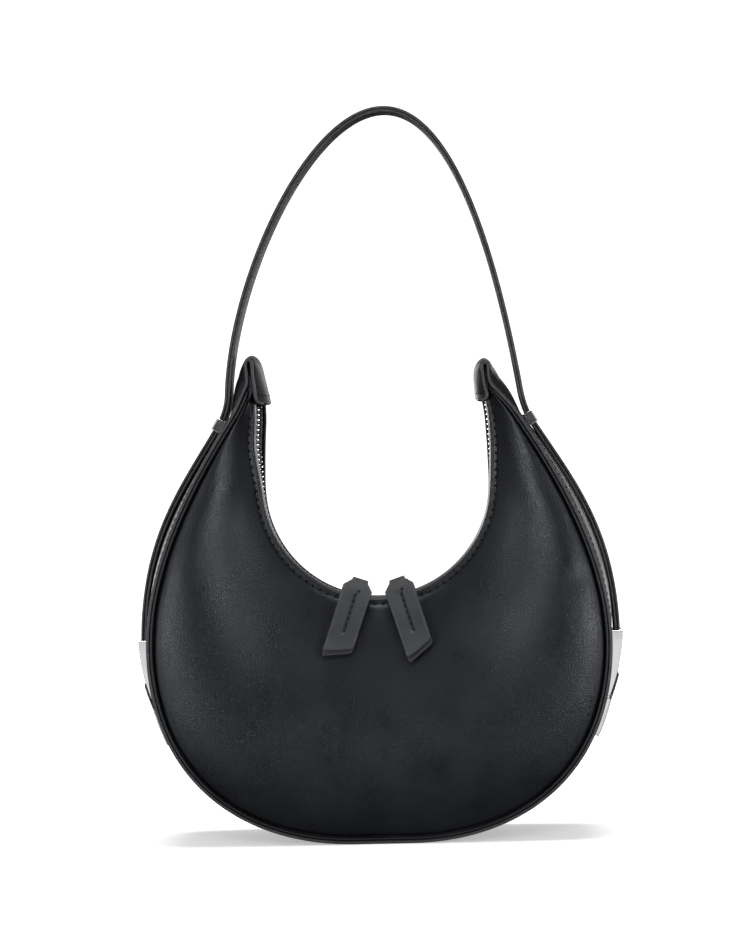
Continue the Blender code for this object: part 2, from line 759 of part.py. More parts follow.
def make_ring(name, side):
    """A rectangular wire ring whose lower bar runs through the crown."""
    wire = RING_WIRE
    ring = box(name, (RING_WIDTH, wire, RING_REACH + wire), (0.0, 0.0, RING_REACH / 2), "polished_steel")
    hole = box(name + "_hole", (RING_WIDTH - 2 * wire, 2 * wire, RING_REACH - wire),
               (0.0, 0.0, RING_REACH / 2), group=CUTTERS)
    lean = Matrix.Rotation(pi / 2 - RING_RISE, 4, "X")
    for obj in (ring, hole):
        obj.data.transform(lean)
        place_on_pivot(obj, side)
    return boolean(ring, hole, "DIFFERENCE")


def pull_line(length):
    """The line between a pull's two leaves in its own (y, z) plane, from the ring down."""
    ring = np.array([-RING_REACH * cos(RING_RISE), RING_REACH * sin(RING_RISE)])
    end = np.array([-PULL_FORWARD, -PULL_DROP])
    fall = np.array([-PULL_END_RUN, -PULL_END_FALL])
    line = bezier(ring, ring - (PULL_TOP_RUN, 0.0), end - fall, end, DENSE_STEPS)
    line = np.concatenate([line, [end, end + fall]])
    return at_distances(line, pull_distances(length))


def pull_distances(length):
    """Stations along a pull's leaves: the end of its neck, its shoulder, and even steps below."""
    shoulder = PULL_NECK_RUN + PULL_SHOULDER_RUN
    return np.concatenate([[0.0, PULL_NECK_RUN], np.linspace(shoulder, length, PULL_STEPS)])


def pull_section(length):
    """The folded strip seen from its side: two leaves and the eye round the ring."""
    line = pull_line(length)
    front = normals(line)
    inner = PULL_LEAF_GAP / 2
    outer = inner + PULL_LEAF
    turn = atan2(front[0][1], front[0][0]) - np.linspace(0.0, pi, EYE_STEPS + 1)
    eye = np.stack([np.cos(turn), np.sin(turn)], axis=1)
    leaf, n = line[1:], front[1:]
    outside = [(leaf + n * outer)[::-1], line[0] + eye * (EYE_RADIUS + PULL_LEAF), leaf - n * outer]
    inside = [(leaf - n * inner)[::-1], line[0] + eye[::-1] * EYE_RADIUS, leaf + n * inner]
    return np.concatenate(outside + inside)


def make_pull(name, side):
    """A leather strip folded round the ring's upper bar, with a neck and a slanted end."""
    leaf = np.full(PULL_STEPS + 1, PULL_WIDTH / 2)
    leaf[0] = PULL_NECK_WIDTH / 2
    eye = np.full(EYE_STEPS + 1, PULL_NECK_WIDTH / 2)
    half = np.concatenate([leaf[::-1], eye, leaf, leaf[::-1], eye, leaf])
    long_side = pull_section(PULL_LENGTH)
    short_side = pull_section(PULL_LENGTH - PULL_SLANT)
    rows = [[(-x, y, z) for x, (y, z) in zip(half, long_side)],
            [(x, y, z) for x, (y, z) in zip(half, short_side)]]
    return place_on_pivot(bar(name, "pull_leather", rows), side)


# Strap, keepers and side fittings. Their lines are drawn for the right side.


def on_flank(height):
    """Point on the middle of the band, outward normal and upward tangent at a height."""
    path = flank_path(LOWER_STEPS, UPPER_STEPS)
    crown = flank_crown(path)
    high = crown[:, 1] > WIDEST_HEIGHT / 4
    crown = crown[high]
    out = normals(crown)
    point = np.array([np.interp(height, crown[:, 1], crown[:, k]) for k in range(2)])
    normal = np.array([np.interp(height, crown[:, 1], out[:, k]) for k in range(2)])
    normal /= np.linalg.norm(normal)
    return point, normal, np.array([-normal[1], normal[0]])


def belt_thick():
    """Thickness of both strap layers with the gap between them."""
    return 2 * STRAP_LAYER + GAP


def keeper_rise():
    """Height of a keeper over the band."""
    return belt_thick() + 2 * GAP + 2 * KEEPER_WALL


def keeper_height():
    """Height of both keepers on the flank."""
    return HORN_NECK_HEIGHT - KEEPER_BELOW_NECK


def keeper_middle():
    """Middle of the right keeper with its normal and tangent."""
    point, normal, tangent = on_flank(keeper_height())
    return point + normal * (GAP + keeper_rise() / 2), normal, tangent


def joint_point():
    """Where the strap's arch bends against its tail, above the right keeper."""
    keeper, _, _ = keeper_middle()
    lift = (KEEPER_LENGTH + STRAP_WIDTH) / 2 + STRAP_BEND_CLEARANCE
    return keeper + (-STRAP_SET_IN, lift)


def strap_lean(side):
    return STRAP_LEAN_LEFT if side < 0 else STRAP_LEAN_RIGHT


def bend_line(side):
    """Line from a side's joint down to its keeper, drawn on the right."""
    joint = joint_point()
    keeper, _, tangent = keeper_middle()
    down = np.array([sin(strap_lean(side)), -cos(strap_lean(side))])
    line = bezier(joint, joint + down * STRAP_BEND_HANDLE, keeper + tangent * STRAP_BEND_HANDLE,
                  keeper, DENSE_STEPS)
    return np.concatenate([line, [keeper]])


def sleeve_socket_offset():
    """Distance of the strap's middle from the band inside a sleeve."""
    return SLEEVE_STAND_OFF + SLEEVE_WALL + GAP + belt_thick() / 2


def tail_line(side):
    """Line of a tail from its cut above the keeper down into the sleeve, drawn on the right.

    Below the keeper it follows the band at a distance that runs from the
    keeper's to the sleeve's, plus a lift that is zero at both.
    """
    bend = bend_line(side)
    cut = STRAP_WIDTH / 2 + GAP
    upper = at_distances(bend, np.linspace(cut, along(bend)[-1], STRAP_BEND_STEPS // 2 + 1))
    keeper, _, _ = keeper_middle()
    low = SLEEVE_TOP - SLEEVE_SOCKET_DEPTH + GAP
    foot, normal, _ = on_flank(low)
    foot = foot + normal * sleeve_socket_offset()
    crown = flank_crown(flank_path(DENSE_STEPS, DENSE_STEPS))
    out = normals(crown)
    part = (crown[:, 1] > low) & (crown[:, 1] < keeper_height())
    line, out = crown[part][::-1], out[part][::-1]
    share = along(line)[:, None] / along(line)[-1]
    line = line + out * TAIL_LIFT * np.sin(pi * share) ** 2
    line = line + (keeper - line[0]) * (1.0 - share) + (foot - line[-1]) * share
    line = evenly(line, TAIL_STEPS)
    return np.concatenate([upper[:-1], line])


def arch_line():
    """The arch's line from its left joint over the top to its right one."""
    top = np.array([STRAP_TOP_X, STRAP_TOP])
    joint = joint_point()
    up = np.array([-sin(STRAP_LEAN_RIGHT), cos(STRAP_LEAN_RIGHT)])
    left_joint, left_up = joint * (-1.0, 1.0), np.array([sin(STRAP_LEAN_LEFT), cos(STRAP_LEAN_LEFT)])
    left = bezier(left_joint, left_joint + left_up * STRAP_SIDE_HANDLE_LEFT,
                  top - (STRAP_TOP_HANDLE_LEFT, 0.0), top, DENSE_STEPS)
    right = bezier(top, top + (STRAP_TOP_HANDLE_RIGHT, 0.0), joint + up * STRAP_SIDE_HANDLE_RIGHT,
                   joint, DENSE_STEPS)
    return evenly(np.concatenate([left, right, [joint]]), STRAP_STEPS)


def layer(name, line, half_widths, near, far):
    """One flat layer along a line: near and far are its faces' distances on the left hand of it."""
    out = -normals(line)
    rows = []
    for (x, z), (nx, nz), w in zip(line, out, half_widths):
        a, b = (x + nx * near, z + nz * near), (x + nx * far, z + nz * far)
        rows.append([(a[0], -w, a[1]), (a[0], w, a[1]), (b[0], w, b[1]), (b[0], -w, b[1])])
    return bar(name, "leather", rows)


def make_arch_layer(name, outer):
    """A layer of the arch, with both ends rounded about the joints."""
    half = STRAP_WIDTH / 2
    ends = half * np.array(STRAP_END_SHARES)
    right = at_distances(bend_line(1.0), ends[1:])
    left = at_distances(bend_line(-1.0), ends[1:])[::-1] * (-1.0, 1.0)
    line = np.concatenate([left, arch_line(), right])
    end_widths = half * np.sqrt(1.0 - np.array(STRAP_END_SHARES[1:]) ** 2)
    widths = np.concatenate([end_widths[::-1], np.full(STRAP_STEPS + 1, half), end_widths])
    near, far = GAP / 2, GAP / 2 + STRAP_LAYER
    arch = layer(name, line, widths, near, far) if outer else layer(name, line, widths, -far, -near)
    return set_origin(arch, (0.0, 0.0, joint_point()[1]))


def make_tail_layer(name, side, outer):
    """A layer of one tail, from above its keeper down into its sleeve."""
    line = tail_line(side)
    near, far = GAP / 2, GAP / 2 + STRAP_LAYER
    if side < 0:
        line = line[::-1] * (-1.0, 1.0)
    widths = np.full(len(line), STRAP_WIDTH / 2)
    return layer(name, line, widths, near, far) if outer else layer(name, line, widths, -far, -near)


def flank_box(name, side, height, low, high, length, width, slot=None, group=PARTS):
    """A box that stands on the band at a height: low and high are distances from the band."""
    point, normal, tangent = on_flank(height)
    corners = [(low, -length / 2), (high, -length / 2), (high, length / 2), (low, length / 2)]
    outline = [point + normal * n + tangent * t for n, t in corners]
    outline = [(side * x, z) for x, z in outline]
    return prism(name, outline, -width / 2, width / 2, slot, group)


def make_keeper(name, side):
    """A flat metal loop that holds the strap on the band."""
    width = STRAP_WIDTH + 2 * KEEPER_SIDE_GAP + 2 * KEEPER_WALL
    high = GAP + keeper_rise()
    keeper = flank_box(name, side, keeper_height(), GAP, high, KEEPER_LENGTH, width, "polished_steel")
    hole = flank_box(name + "_hole", side, keeper_height(), GAP + KEEPER_WALL, high - KEEPER_WALL,
                     2 * KEEPER_LENGTH, width - 2 * KEEPER_WALL, group=CUTTERS)
    return boolean(keeper, hole, "DIFFERENCE")


def stud(name, side, height, y, radius, low, high, group):
    """A round pin across the band at a height."""
    point, normal, _ = on_flank(height)
    bm = bmesh.new()
    bmesh.ops.create_cone(bm, cap_ends=True, segments=STUD_SIDES, radius1=radius, radius2=radius,
                          depth=high - low)
    mesh = bpy.data.meshes.new(name)
    bm.to_mesh(mesh)
    bm.free()
    pin = add_object(name, mesh, None, group)
    middle = point + normal * (low + high) / 2
    pin.location = (side * middle[0], y, middle[1])
    pin.rotation_euler = (0.0, side * atan2(normal[0], normal[1]), 0.0)
    return pin


def make_backing(name, side, height, length):
    """A plate inside the band with two studs through it, which hold a fitting."""
    low = -BAND_THICK - BACKING_CLEARANCE - BACKING_THICK
    plate = flank_box(name, side, height, low, low + BACKING_THICK, length, BACKING_WIDTH, "polished_steel")
    for end in (-1.0, 1.0):
        y = end * STUD_SPACING / 2
        pin = stud(name + "_stud", side, height, y, STUD_RADIUS, low + BACKING_THICK / 2, 0.0, CUTTERS)
        boolean(plate, pin, "UNION")
    return plate


def cut_stud_holes(band):
    """Round holes in the band for the studs of both keepers and both anchors."""
    for height in (keeper_height(), ANCHOR_STUD_HEIGHT):
        for side in (-1.0, 1.0):
            for end in (-1.0, 1.0):
                y = end * STUD_SPACING / 2
                hole = stud("stud_hole", side, height, y, STUD_RADIUS + GAP,
                            -2 * BAND_THICK, 2 * BAND_THICK, CUTTERS)
                boolean(band, hole, "DIFFERENCE")
    return band


def beside_flank(stations):
    """Points from (height, distance from the band) pairs."""
    points = []
    for height, off in stations:
        point, normal, _ = on_flank(height)
        points.append(point + normal * off)
    return points


def fitting(name, side, stations, width):
    """A polished fitting cut from plate, with its outline given beside the band."""
    outline = [(side * x, z) for x, z in beside_flank(stations)]
    return prism(name, outline, -width / 2, width / 2, "polished_steel")


def sleeve_width():
    """Width of a sleeve and of its anchor plate."""
    return STRAP_WIDTH + 2 * GAP + 2 * SLEEVE_SIDE_WALL


def make_sleeve(name, side):
    """A metal sleeve: the strap ends in its socket and its tongue goes down under the lip."""
    near = SLEEVE_STAND_OFF
    rise = SLEEVE_TOP - SLEEVE_FOOT_HEIGHT
    inner = [(SLEEVE_FOOT_HEIGHT + rise * t, near) for t in np.linspace(0.0, 1.0, SLEEVE_STEPS + 1)]
    outer = [(SLEEVE_TOP, near + SLEEVE_TOP_THICK), (SLEEVE_SHOULDER, near + SLEEVE_SHOULDER_THICK),
             (SLEEVE_FOOT_HEIGHT, near + SLEEVE_TONGUE_THICK)]
    sleeve = fitting(name, side, inner + outer, sleeve_width())
    low = near + SLEEVE_WALL
    high = low + belt_thick() + 2 * GAP
    floor, mouth = SLEEVE_TOP - SLEEVE_SOCKET_DEPTH, SLEEVE_TOP + SLEEVE_SOCKET_DEPTH
    outline = [(side * x, z) for x, z in beside_flank([(floor, low), (mouth, low), (mouth, high), (floor, high)])]
    half = STRAP_WIDTH / 2 + GAP
    socket = prism(name + "_socket", outline, -half, half, group=CUTTERS)
    return boolean(sleeve, socket, "DIFFERENCE")


def make_anchor(name, side):
    """A metal plate on the band, with a lip over the sleeve's tongue."""
    face = GAP + ANCHOR_THICK
    middle = (ANCHOR_BOTTOM + ANCHOR_SHOULDER) / 2
    stations = [(ANCHOR_BOTTOM, GAP), (middle, GAP), (ANCHOR_SHOULDER, GAP),
                (ANCHOR_SHOULDER, face - ANCHOR_LIP_THICK),
                (ANCHOR_LIP_TOP, face - ANCHOR_LIP_THICK + ANCHOR_LIP_RISE),
                (ANCHOR_LIP_TOP, face + ANCHOR_LIP_RISE), (ANCHOR_SHOULDER, face),
                (middle, face), (ANCHOR_BOTTOM, face)]
    return fitting(name, side, stations, sleeve_width())


def make_side(word, side):
    """Every piece that the bag has once on its left and once on its right."""
    make_zip_stop("zip_stop_" + word, side)
    axis = slider_axis("zip_" + word, side)
    make_slider("zip_slider_" + word, side, axis)
    make_crown("slider_crown_" + word, axis)
    make_ring("pull_ring_" + word, side)
    make_pull("pull_" + word, side)
    make_tail_layer("strap_tail_" + word + "_outer", side, True)
    make_tail_layer("strap_tail_" + word + "_inner", side, False)
    make_keeper("keeper_" + word, side)
    make_backing("keeper_backing_" + word, side, keeper_height(), KEEPER_LENGTH)
    make_sleeve("strap_sleeve_" + word, side)
    make_anchor("anchor_plate_" + word, side)
    make_backing("anchor_backing_" + word, side, ANCHOR_STUD_HEIGHT, (ANCHOR_SHOULDER - ANCHOR_BOTTOM) / 2)
    make_horn_filler("horn_filler_" + word, side)


def main():
    clear_scene()
    cut_stud_holes(make_gusset_band())
    for word, side in (("front", -1.0), ("back", 1.0)):
        make_edge_welt(word + "_edge_welt", side)
        make_panel(word + "_panel", side)
        make_lining_panel("lining_" + word, side)
        make_zip_tape("zip_tape_" + word, side)
        make_zip_chain("zip_chain_" + word, side)
    make_lining_gusset()
    make_inner_pocket()
    make_base_board()
    for word, side in (("left", -1.0), ("right", 1.0)):
        make_side(word, side)
    make_arch_layer("strap_outer_layer", True)
    make_arch_layer("strap_inner_layer", False)


main()
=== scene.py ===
"""Crescent shoulder bag in black leather, dressed over its CAD frame.

Every surface is worked out with numpy in the frame's own metres: a sheet of
leather is a grid of points given a thickness, and wires, straps and fittings
are cross-sections carried along a path.
"""

from math import cos, pi, radians, sin

import bpy
import numpy as np
from mathutils import Matrix, Vector


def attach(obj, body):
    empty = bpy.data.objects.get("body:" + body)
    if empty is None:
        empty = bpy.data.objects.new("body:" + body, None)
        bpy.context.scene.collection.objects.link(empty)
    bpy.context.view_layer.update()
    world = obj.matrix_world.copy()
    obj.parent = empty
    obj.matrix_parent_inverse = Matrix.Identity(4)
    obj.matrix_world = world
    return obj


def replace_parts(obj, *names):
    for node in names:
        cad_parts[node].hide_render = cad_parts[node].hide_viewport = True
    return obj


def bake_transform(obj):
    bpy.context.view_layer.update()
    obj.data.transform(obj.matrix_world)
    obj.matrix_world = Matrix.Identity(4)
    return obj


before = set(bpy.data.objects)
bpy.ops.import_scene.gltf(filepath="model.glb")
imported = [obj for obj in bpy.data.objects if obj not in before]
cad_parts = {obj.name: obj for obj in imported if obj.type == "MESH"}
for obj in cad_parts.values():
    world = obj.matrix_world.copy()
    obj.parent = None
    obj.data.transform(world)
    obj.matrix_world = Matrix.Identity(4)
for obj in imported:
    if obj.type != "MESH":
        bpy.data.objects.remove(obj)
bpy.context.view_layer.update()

bl_info = {
    "name": "Crescent Shoulder Bag",
    "version": (1, 0, 0),
    "blender": (4, 5, 0),
    "location": "3D View > Sidebar > Bag",
    "description": "Makes the leather, zip, strap and fittings of a crescent shoulder bag",
    "category": "Object",
}

# Outline of the bag, as in the CAD frame.
BAG_HALF_WIDTH, WIDEST_HEIGHT = 0.1176, 0.1000
BASE_FLAT_HALF, BASE_HANDLE = 0.0140, 0.0590
FLANK_HANDLE_DOWN, FLANK_HANDLE_UP, SHOULDER_HANDLE = 0.0650, 0.0500, 0.0380
HORN_NECK = (0.0624, 0.2320)
HORN_LEAN = radians(35.0)
TIP_X, TIP_TOP, TAB_BOTTOM, TIP_WIDTH = 0.0594, 0.2462, 0.2236, 0.0150
TIP_EDGE_SHARES = [(0.147, 0.56), (0.153, 0.80), (0.100, 0.89), (0.0, 0.925),
                   (-0.100, 0.89), (-0.153, 0.80), (-0.140, 0.56), (-0.127, 0.28), (-0.073, 0.0)]
TIP_CROWN_SHARES = [(0.373, 0.67), (0.267, 0.80), (0.127, 0.94), (-0.067, 1.0),
                    (-0.267, 0.91), (-0.387, 0.75), (-0.433, 0.56), (-0.460, 0.28), (-0.480, 0.0)]
HORN_CROWN, CROWN_START_HEIGHT, CROWN_POWER = 0.0052, 0.2100, 2.2
# Rise, lower and upper end and power of the band's swell under the left and the right strap tail.
FLANK_SWELLS = ((0.0033, 0.1040, 0.2070, 1.2), (0.0043, 0.1015, 0.2160, 0.85))
# How far the tips of the left and the right horn lean to the left, and how far they sag; the left one rises.
HORN_DRIFT, HORN_SAG = (0.0036, 0.0022), (-0.0020, 0.0024)
HORN_DRIFT_START, HORN_DRIFT_RUN = 0.2150, 0.0270
BASE_HALF_DEPTH, TIP_HALF_DEPTH, DEPTH_POWER = 0.0280, 0.0125, 3

GAP = 0.0003
BAND_THICK, WELT_THICK, PANEL_THICK, LINING_THICK = 0.0016, 0.0013, 0.0014, 0.0007
SEAM_RIDGE, WELT_TOP = 0.0036, 0.2312
MOUTH_CENTRE_Z, ZIP_RADIUS, WALL_LEAN_IN = 0.1805, 0.0593, 0.0020
TAPE_THICK, TAPE_FLAT_HALF, TAPE_HALF_WIDTH, TAPE_SLOPE_DROP = 0.0006, 0.0050, 0.0078, 0.0019
TAPE_END_DROP = 0.0030
CHAIN_HALF_WIDTH, CHAIN_HALF_HEIGHT = 0.0029, 0.0016
PANEL_EDGE_Y, PANEL_EDGE_RAISE, FOLD_WIDTH, FOLD_DROP = 0.0055, 0.0020, 0.0050, 0.0034
BELLY_PUFF, FULL_SPAN, PUFF_POWER = 0.0088, 0.1200, 0.9
PANEL_TIP_HEIGHT, PANEL_TONGUE_TOPS = 0.2288, (0.2352, 0.2424)
PANEL_TONGUE_IN, PANEL_TONGUE_OUT = (0.0040, 0.0030, 0.0012), 0.0006
SLIDER_ANGLE, PULL_SPLAY = radians(11.5), radians(7.0)
SLIDER_LENGTH, SLIDER_HALF_WIDTH, SLIDER_PLATE, SLIDER_CLEARANCE = 0.0100, 0.0046, 0.0011, 0.0005
SLIDER_LIP, SLIDER_LIP_DROP, SLIDER_EDGE, FITTING_EDGE = 0.0007, 0.0009, 0.00028, 0.0005
# Share of a slider's width lost at both its ends, and half the share lost along it towards the mouth's middle.
SLIDER_END_TAPER, SLIDER_NOSE_TAPER = 0.55, 0.07
# The web that joins a slider's two plates, at its end towards the middle of the mouth.
WEB_HALF_WIDTH, WEB_LENGTH = 0.0003, 0.0018
CROWN_LENGTH, CROWN_HALF_WIDTH, CROWN_WIRE, CROWN_OPENING = 0.0024, 0.0022, 0.0010, 0.0030
RING_WIRE, RING_WIDTH, RING_REACH, RING_RISE = 0.0011, 0.0112, 0.0068, radians(30.0)
PULL_WIDTH, PULL_NECK_WIDTH, PULL_LENGTH, PULL_SLANT = 0.0155, 0.0084, 0.0455, 0.0060
PULL_NECK_RUN, PULL_SHOULDER_RUN = 0.0018, 0.0060
PULL_LEAF, PULL_LEAF_GAP, EYE_RADIUS = 0.0013, 0.0004, 0.0010
PULL_CORNER, PULL_BACK_LONGER, PULL_EYE_RUN = 0.0014, 0.0014, 0.0042
# Ends of a pull's seam, the margin and the fade of the pressed face round it, and the pressed face's size.
PULL_SEAM_RUN, PULL_SEAM_MARGIN, PULL_SEAM_FADE = (0.0088, 0.0325), 0.0012, 0.0030
PULL_PRESS_DEPTH, PULL_PRESS_WIDTH, PULL_GROOVE_DEPTH, PULL_GROOVE_WIDTH = 0.0008, 0.0058, 0.0005, 0.0007
# How far a pull's leaves open at their end, and where that starts and how long it takes.
PULL_FLARE, PULL_FLARE_START, PULL_FLARE_RUN = 0.0018, 0.030, 0.014
PULL_STITCH_PITCH, PULL_STITCH_LENGTH = 0.0031, 0.0027
PULL_TOP_RUN, PULL_FORWARD, PULL_DROP, PULL_END_RUN, PULL_END_FALL = 0.0074, 0.0272, 0.0300, 0.0065, 0.0140
STRAP_WIDTH, STRAP_LAYER = 0.0200, 0.0015
STRAP_TOP = (0.0081, 0.3716)
STRAP_TOP_HANDLES, STRAP_SIDE_HANDLES, STRAP_LEANS = (0.0380, 0.0300), (0.0580, 0.0900), (radians(2.5), radians(9.0))
STRAP_SET_IN, STRAP_BEND_CLEARANCE, STRAP_BEND_HANDLE, TAIL_LIFT = 0.0048, 0.0020, 0.0050, 0.0022
KEEPER_BELOW_NECK, KEEPER_LENGTH, KEEPER_WALL, KEEPER_SIDE_GAP = 0.0210, 0.0066, 0.0009, 0.0005
SLEEVE_TOP, SLEEVE_SHOULDER, SLEEVE_FOOT, SLEEVE_STAND_OFF = 0.1035, 0.0850, 0.0705, 0.0005
SLEEVE_THICKS = (0.0059, 0.0039, 0.0018)
SLEEVE_WALL, SLEEVE_SOCKET_DEPTH, SLEEVE_SIDE_WALL = 0.0008, 0.0065, 0.0010
ANCHOR_BOTTOM, ANCHOR_SHOULDER, ANCHOR_THICK = 0.0510, 0.0695, 0.0031
ANCHOR_LIP_TOP, ANCHOR_LIP_THICK, ANCHOR_LIP_RISE = 0.0825, 0.0008, 0.0018
BOARD_HALF_LENGTH, BOARD_HALF_WIDTH, BOARD_THICK = 0.0600, 0.0200, 0.0010
FILLER_BELOW_TOP, FILLER_SIZE = 0.0090, (0.0074, 0.0120, 0.0084)

# The band's grid: columns between its two flanges, and distances of the columns on a flange.
BAND_COLUMNS, FLANGE_COLUMNS = 27, (0.0006, 0.0012, 0.0016, 0.0020, 0.0024)
# The grid's columns and rows that are sewn along, and the part of a row that is sewn across a tab.
SEWN_COLUMNS, SEWN_ROWS, TAB_SEAM = (9, -10), (5, -6), slice(10, -10)
TAB_CORNER = 0.0030
# The sewn channel along a flange, and the crease between flange and band.
BAND_CHANNEL_IN, BAND_CHANNEL_DEPTH, BAND_CHANNEL_WIDTH = 0.0016, 0.00022, 0.0004
BAND_CREASE_DEPTH, BAND_CREASE_SHARE = 0.00035, 0.05
# The panel stands proud beside the seam, then rolls down into it.
SEAM_LIFT, SEAM_ROLL_RUN, SEAM_ROLL_DROP, SEAM_ROLL_SPAN = 0.0012, 0.0022, 0.0018, 0.0240
SEAM_ROLL_KEYS = np.array([0.0065, 0.0042, 0.0026, 0.0016, 0.0009, 0.0004, 0.0001, 0.0])
# Width of the panel's edge that is tucked under the welt, and the span below which it narrows.
SEAM_TUCK, SEAM_TUCK_SPAN = 0.0010, 0.0040
# How far the mouth's front edge is drawn back on its left and right wall, and the heights between which it grows.
WALL_TURN, WALL_TURN_HEIGHTS = (0.0042, 0.0014), (0.1730, 0.2060)
PANEL_SHARES = (0.0, 0.07, 0.14, 0.22, 0.30, 0.39, 0.48, 0.57, 0.66, 0.75, 0.83, 0.90, 0.96, 1.0)
LINING_SHARES = (0.0, 0.06, 0.14, 0.30, 0.48, 0.66, 0.82, 0.93)
# The sewn channel beside the mouth and the rib inside it.
MOUTH_CHANNEL_DEPTH, MOUTH_CHANNEL_WIDTH = 0.00075, 0.0008
MOUTH_RIB_SHARE, MOUTH_RIB_HEIGHT, MOUTH_RIB_WIDTH = 0.7, 0.0003, 0.0009
MOUTH_STITCH_IN, STRAP_STITCH_IN = 0.0064, 0.0026
STRAP_CREASE_DEPTH, STRAP_CREASE_WIDTH, STRAP_CROWN = 0.00016, 0.00045, 0.00012
# Length of a stitch as a share of its pitch, and the heavier threads as shares of the thread's thickness.
SEAM_STITCH_SHARE, MOUTH_STITCH_SHARE = 0.72, 0.38
TAB_THREAD, HEAVY_THREAD, HOOK_THREAD = 1.2, 2.2, 2.0
# A tooth's sections from the tape to its head: place along y in metres, half width and half height in millimetres.
TOOTH_SECTIONS = np.array([(0.0030, 0.50, 1.15), (0.0026, 0.64, 1.50), (0.0013, 0.62, 1.50), (0.0004, 0.46, 1.25),
                           (-0.0004, 0.56, 1.10), (-0.0009, 0.40, 0.80)])

SIDES = (("left", -1.0), ("right", 1.0))
FACES = (("front", -1.0), ("back", 1.0))
DENSE = 400


# Curves in the XZ plane, as arrays of (x, z).


def bezier(start, first, second, end, steps=DENSE):
    """A cubic curve: the four points weighted by s^3, 3ss t, 3s tt and t^3, with s = 1 - t."""
    t = np.linspace(0.0, 1.0, steps + 1)[:, None]
    s = 1.0 - t
    start, first, second, end = (np.asarray(p, float) for p in (start, first, second, end))
    return s**3 * start + 3 * s * s * t * first + 3 * s * t * t * second + t**3 * end


def along(path):
    """Distance along a path at each of its points: the running sum of its steps."""
    return np.concatenate([[0.0], np.cumsum(np.linalg.norm(np.diff(path, axis=0), axis=1))])


def unit(vectors):
    """The same directions, one long."""
    return vectors / np.maximum(np.linalg.norm(vectors, axis=-1, keepdims=True), 1e-12)


def bell(distance, width):
    """A bell curve of the distance, one at nought."""
    return np.exp(-(distance / width) ** 2)


def at_distances(path, distances):
    """Points at distances along a path."""
    run = along(path)
    return np.stack([np.interp(distances, run, path[:, k]) for k in range(path.shape[1])], axis=-1)


def evenly(path, steps):
    """The same path divided into equal steps."""
    return at_distances(path, np.linspace(0.0, along(path)[-1], steps + 1))


def smooth(points, steps, axis=0):
    """A curve through points: each stretch is a cubic whose end slopes are half the step between its neighbours."""
    p = np.moveaxis(np.asarray(points, float), axis, 0)
    before = np.concatenate([2 * p[:1] - p[1:2], p[:-1]])
    after = np.concatenate([p[1:], 2 * p[-1:] - p[-2:-1]])
    slope = (after - before) / 2
    t = np.linspace(0.0, 1.0, steps, endpoint=False).reshape((1, steps) + (1,) * (p.ndim - 1))
    a, b, ma, mb = p[:-1, None], p[1:, None], slope[:-1, None], slope[1:, None]
    curve = ((2 * t**3 - 3 * t**2 + 1) * a + (t**3 - 2 * t**2 + t) * ma
             + (3 * t**2 - 2 * t**3) * b + (t**3 - t**2) * mb)
    curve = np.concatenate([curve.reshape((-1,) + p.shape[1:]), p[-1:]])
    return np.moveaxis(curve, 0, axis)


def normals(path):
    """Unit normals of an XZ path, on the right hand of its direction."""
    slope = unit(np.gradient(path, axis=0))
    return np.stack([slope[:, 1], -slope[:, 0]], axis=1)


def mirrored(half):
    """A path over both sides, from a half that starts on the middle plane."""
    return np.concatenate([half[:0:-1] * (-1.0, 1.0), half])


def flank_path(lower_steps=DENSE, upper_steps=DENSE):
    """The seam from the middle of the base to the neck of the right horn: a flat, then two cubic curves."""
    flat, side = (BASE_FLAT_HALF, 0.0), (BAG_HALF_WIDTH, WIDEST_HEIGHT)
    below = (HORN_NECK[0] + SHOULDER_HANDLE * sin(HORN_LEAN), HORN_NECK[1] - SHOULDER_HANDLE * cos(HORN_LEAN))
    lower = bezier(flat, (flat[0] + BASE_HANDLE, 0.0), (side[0], side[1] - FLANK_HANDLE_DOWN), side)
    upper = bezier(side, (side[0], side[1] + FLANK_HANDLE_UP), below, HORN_NECK)
    return np.concatenate([[(0.0, 0.0)], evenly(lower, lower_steps)[:-1], evenly(upper, upper_steps)])


def half_depth(z):
    """Depth of the seam at a height: the tip's, plus what is left of the base's as one minus a power of the height."""
    share = np.clip(np.asarray(z) / TIP_TOP, 0.0, 1.0)
    return TIP_HALF_DEPTH + (BASE_HALF_DEPTH - TIP_HALF_DEPTH) * (1.0 - share**DEPTH_POWER)


def horn_crown(z):
    """How far the band's middle stands out at a height: a smooth step up to the neck."""
    share = np.clip((z - CROWN_START_HEIGHT) / (HORN_NECK[1] - CROWN_START_HEIGHT), 0.0, 1.0)
    return HORN_CROWN * share * share * (3.0 - 2.0 * share)


def flank_crown(path):
    """The middle of the band along the flank."""
    return path + normals(path) * horn_crown(path[:, 1])[:, None]


def flank_swell(points):
    """How far the stuffed band rises under the strap's tail: a power of a sine between two heights of each flank."""
    left, right = (rise * np.sin(pi * np.clip((points[:, 1] - low) / (high - low), 0.0, 1.0)).clip(0.0) ** power
                   for rise, low, high, power in FLANK_SWELLS)
    return np.where(points[:, 0] > 0.0, right, left)


def smooth_step(value):
    """Nought below 0, one above 1, and 3tt - 2ttt between."""
    t = np.clip(value, 0.0, 1.0)
    return t * t * (3.0 - 2.0 * t)


def settled(points):
    """Points of the soft horns, moved by their lean and sag with a smooth step of the height."""
    moved = np.array(points, float)
    share = smooth_step((moved[..., 2] - HORN_DRIFT_START) / HORN_DRIFT_RUN)
    right = moved[..., 0] > 0.0
    moved[..., 0] -= share * np.where(right, HORN_DRIFT[1], HORN_DRIFT[0])
    moved[..., 2] -= share * np.where(right, HORN_SAG[1], HORN_SAG[0])
    return moved


